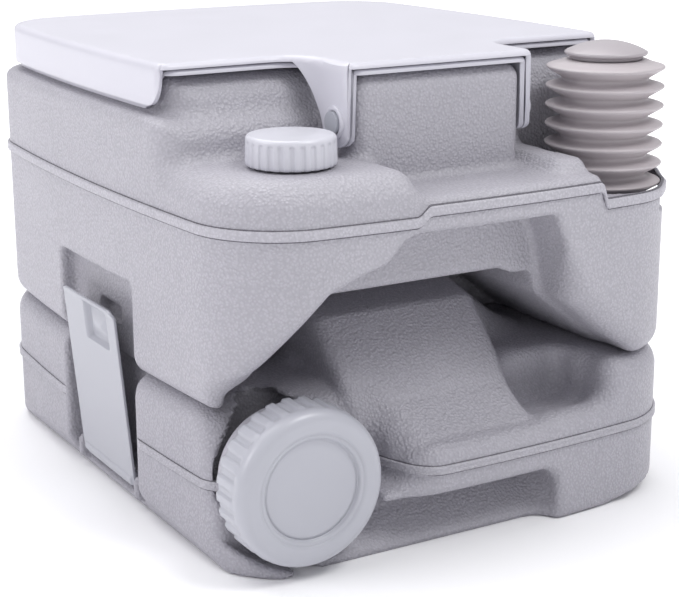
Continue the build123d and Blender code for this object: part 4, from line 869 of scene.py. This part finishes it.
r, h, a = lathe(fine(dome_profile, 2.0), 96, plain)
points = np.stack([pump_x + r * np.cos(a), pump_y + r * np.sin(a), h], -1)
dome_pvc = satin("grey_pvc_dome", "#aaa4a8", 0.34, 2.0)
dome = piece("pump_dome", points.reshape(-1, 3), grid_faces(*r.shape, closed_columns=True), dome_pvc,
             "pump_cap")
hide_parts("pump_cap")

# ==== Side latches =============================================================================
# Flat moulded latches that swing on a pin at the foot: a lip leans out at the top over a sunk
# pyramid for the thumb, and a hook behind catches the upper tank.
latch_half, latch_corner, latch_top_z = 42.5, 7.0, 134.0
plate_out, plate_wall, barrel_r = 3.4, 1.8, 4.6
pivot_x, _, pivot_z = joint_at["latch_left_swing"]
rest_lean = math.radians(5.0)
latch_satin = satin("satin_grey_latch", "#abacb4", 0.33, 1.0)


def latch_surface(u, v):
    """Outer face of a left latch at home: u runs across from -1 to 1, v up from 0 to 1. The face
    is flat; the thumb hollow sinks in as a four-sided pyramid, and the top edge leans out."""
    foot = pivot_z - 4
    z = foot + v * (latch_top_z - foot)
    corner = np.minimum(np.minimum(z - foot, latch_top_z - z), latch_corner)
    bend = np.sqrt(np.maximum(latch_corner ** 2 - (latch_corner - corner) ** 2, 0))
    half = latch_half - latch_corner + bend
    y = latch_y + u * half
    sink = np.minimum(np.minimum(y + 36, 1 - y), np.minimum(z - 105, 131 - z))
    sunk = 3.8 * ease(sink / 2.0) - 2.8 * np.clip((sink - 3) / 9, 0, 1)
    lip = 1.6 * ease((z - 129) / 5)
    return np.stack([pivot_x - plate_out + sunk - lip * (sink < 0), y, z], -1)


def hook_form(x, y, z):
    """The hook and the hinge barrel on the back of a left latch at home."""
    hook = brick(x, y, z, (pivot_x + 2.6, -21, 120.5), (pivot_x + 7, 7, 127), 1.5)
    barrel = np.maximum(np.hypot(x - pivot_x, z - pivot_z) - barrel_r, np.abs(y - latch_y) - 40)
    return np.minimum(hook, barrel)


def leaned(points, side):
    """Left-latch points turned out by the rest angle about the pin, and mirrored for the right."""
    x, z = points[:, 0] - pivot_x, points[:, 2] - pivot_z
    turned = [pivot_x + x * math.cos(rest_lean) - z * math.sin(rest_lean), points[:, 1],
              pivot_z + x * math.sin(rest_lean) + z * math.cos(rest_lean)]
    return np.stack([side * turned[0], turned[1], turned[2]], 1)


hook_points, hook_faces = skin(hook_form, (pivot_x - 8, -50, pivot_z - 8), (pivot_x + 10, 36, 130), 1.5)
u, v = np.meshgrid(np.linspace(-1, 1, 61), np.linspace(0, 1, 84), indexing="ij")
for side, name in ((1, "left"), (-1, "right")):
    points = leaned(latch_surface(u, v).reshape(-1, 3), side)
    faces = grid_faces(*u.shape)
    plate = piece(f"latch_{name}_plate", points, faces if side > 0 else faces[:, ::-1], latch_satin,
                  f"latch_{name}")
    wall = plate.modifiers.new("wall", "SOLIDIFY")
    wall.thickness = -plate_wall * MM
    wall.offset = -1.0
    bevel = plate.modifiers.new("edge", "BEVEL")
    bevel.width = 0.6 * MM
    bevel.segments = 2
    bevel.limit_method = "ANGLE"
    bevel.angle_limit = math.radians(50)
    piece(f"latch_{name}_hook", leaned(hook_points, side), hook_faces if side > 0 else hook_faces[:, ::-1],
          latch_satin, f"latch_{name}")
    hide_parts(f"latch_{name}")

# ==== Parts that show as they are ==============================================================
# Pins, seals, valve, collar, bumpers, hoses and the bowl liner keep their true shapes and get a
# finish each.
finishes = {
    "smooth_bowl_liner": ("#d4d4da", 0.3, ["bowl_liner"]),
    "hinge_pin_plastic": ("#a9abb3", 0.35, ["hinge_pin_left", "hinge_pin_right"]),
    "moulded_neck": ("#b4b2bb", 0.45, ["waste_spout", "filler_neck"]),
    "valve_plastic": ("#85878f", 0.45, ["valve_base", "valve_cover", "valve_blade", "pump_collar",
                                        "pump_valve_housing", "flush_nozzle"]),
    "handle_plastic": ("#a5a7af", 0.38, ["valve_handle"]),
    "black_rubber": ("#1b1b1e", 0.62, ["waste_cap_seal", "filler_cap_seal", "valve_lip_seal", "seat_bumpers",
                                       "lid_bumpers"]),
    "milky_hose": ("#c9cccc", 0.28, ["pickup_tube", "flush_hose"]),
}


def paint(nodes, material):
    """Gives CAD nodes one material in place of their plain one."""
    for name in nodes:
        slots = frame["nodes"][name].data.materials
        slots.clear()
        slots.append(material)


for finish, (colour, roughness, nodes) in finishes.items():
    paint(nodes, satin(finish, colour, roughness, 1.0))

steel, tree, shader = new_material("plain_steel")
brush_mm = 0.4
coord = node(tree, "ShaderNodeTexCoord").outputs["Object"]
brush = node(tree, "ShaderNodeTexNoise", Vector=coord, Scale=1 / (brush_mm * MM), Detail=2.0)
sheen = node(tree, "ShaderNodeMapRange", Value=brush.outputs["Fac"], To_Min=0.25, To_Max=0.45)
tree.links.new(sheen.outputs[0], shader.inputs["Roughness"])
shader.inputs["Base Color"].default_value = linear("#b9babd")
shader.inputs["Metallic"].default_value = 1.0
paint(("valve_screws", "latch_pin_left", "latch_pin_right"), steel)
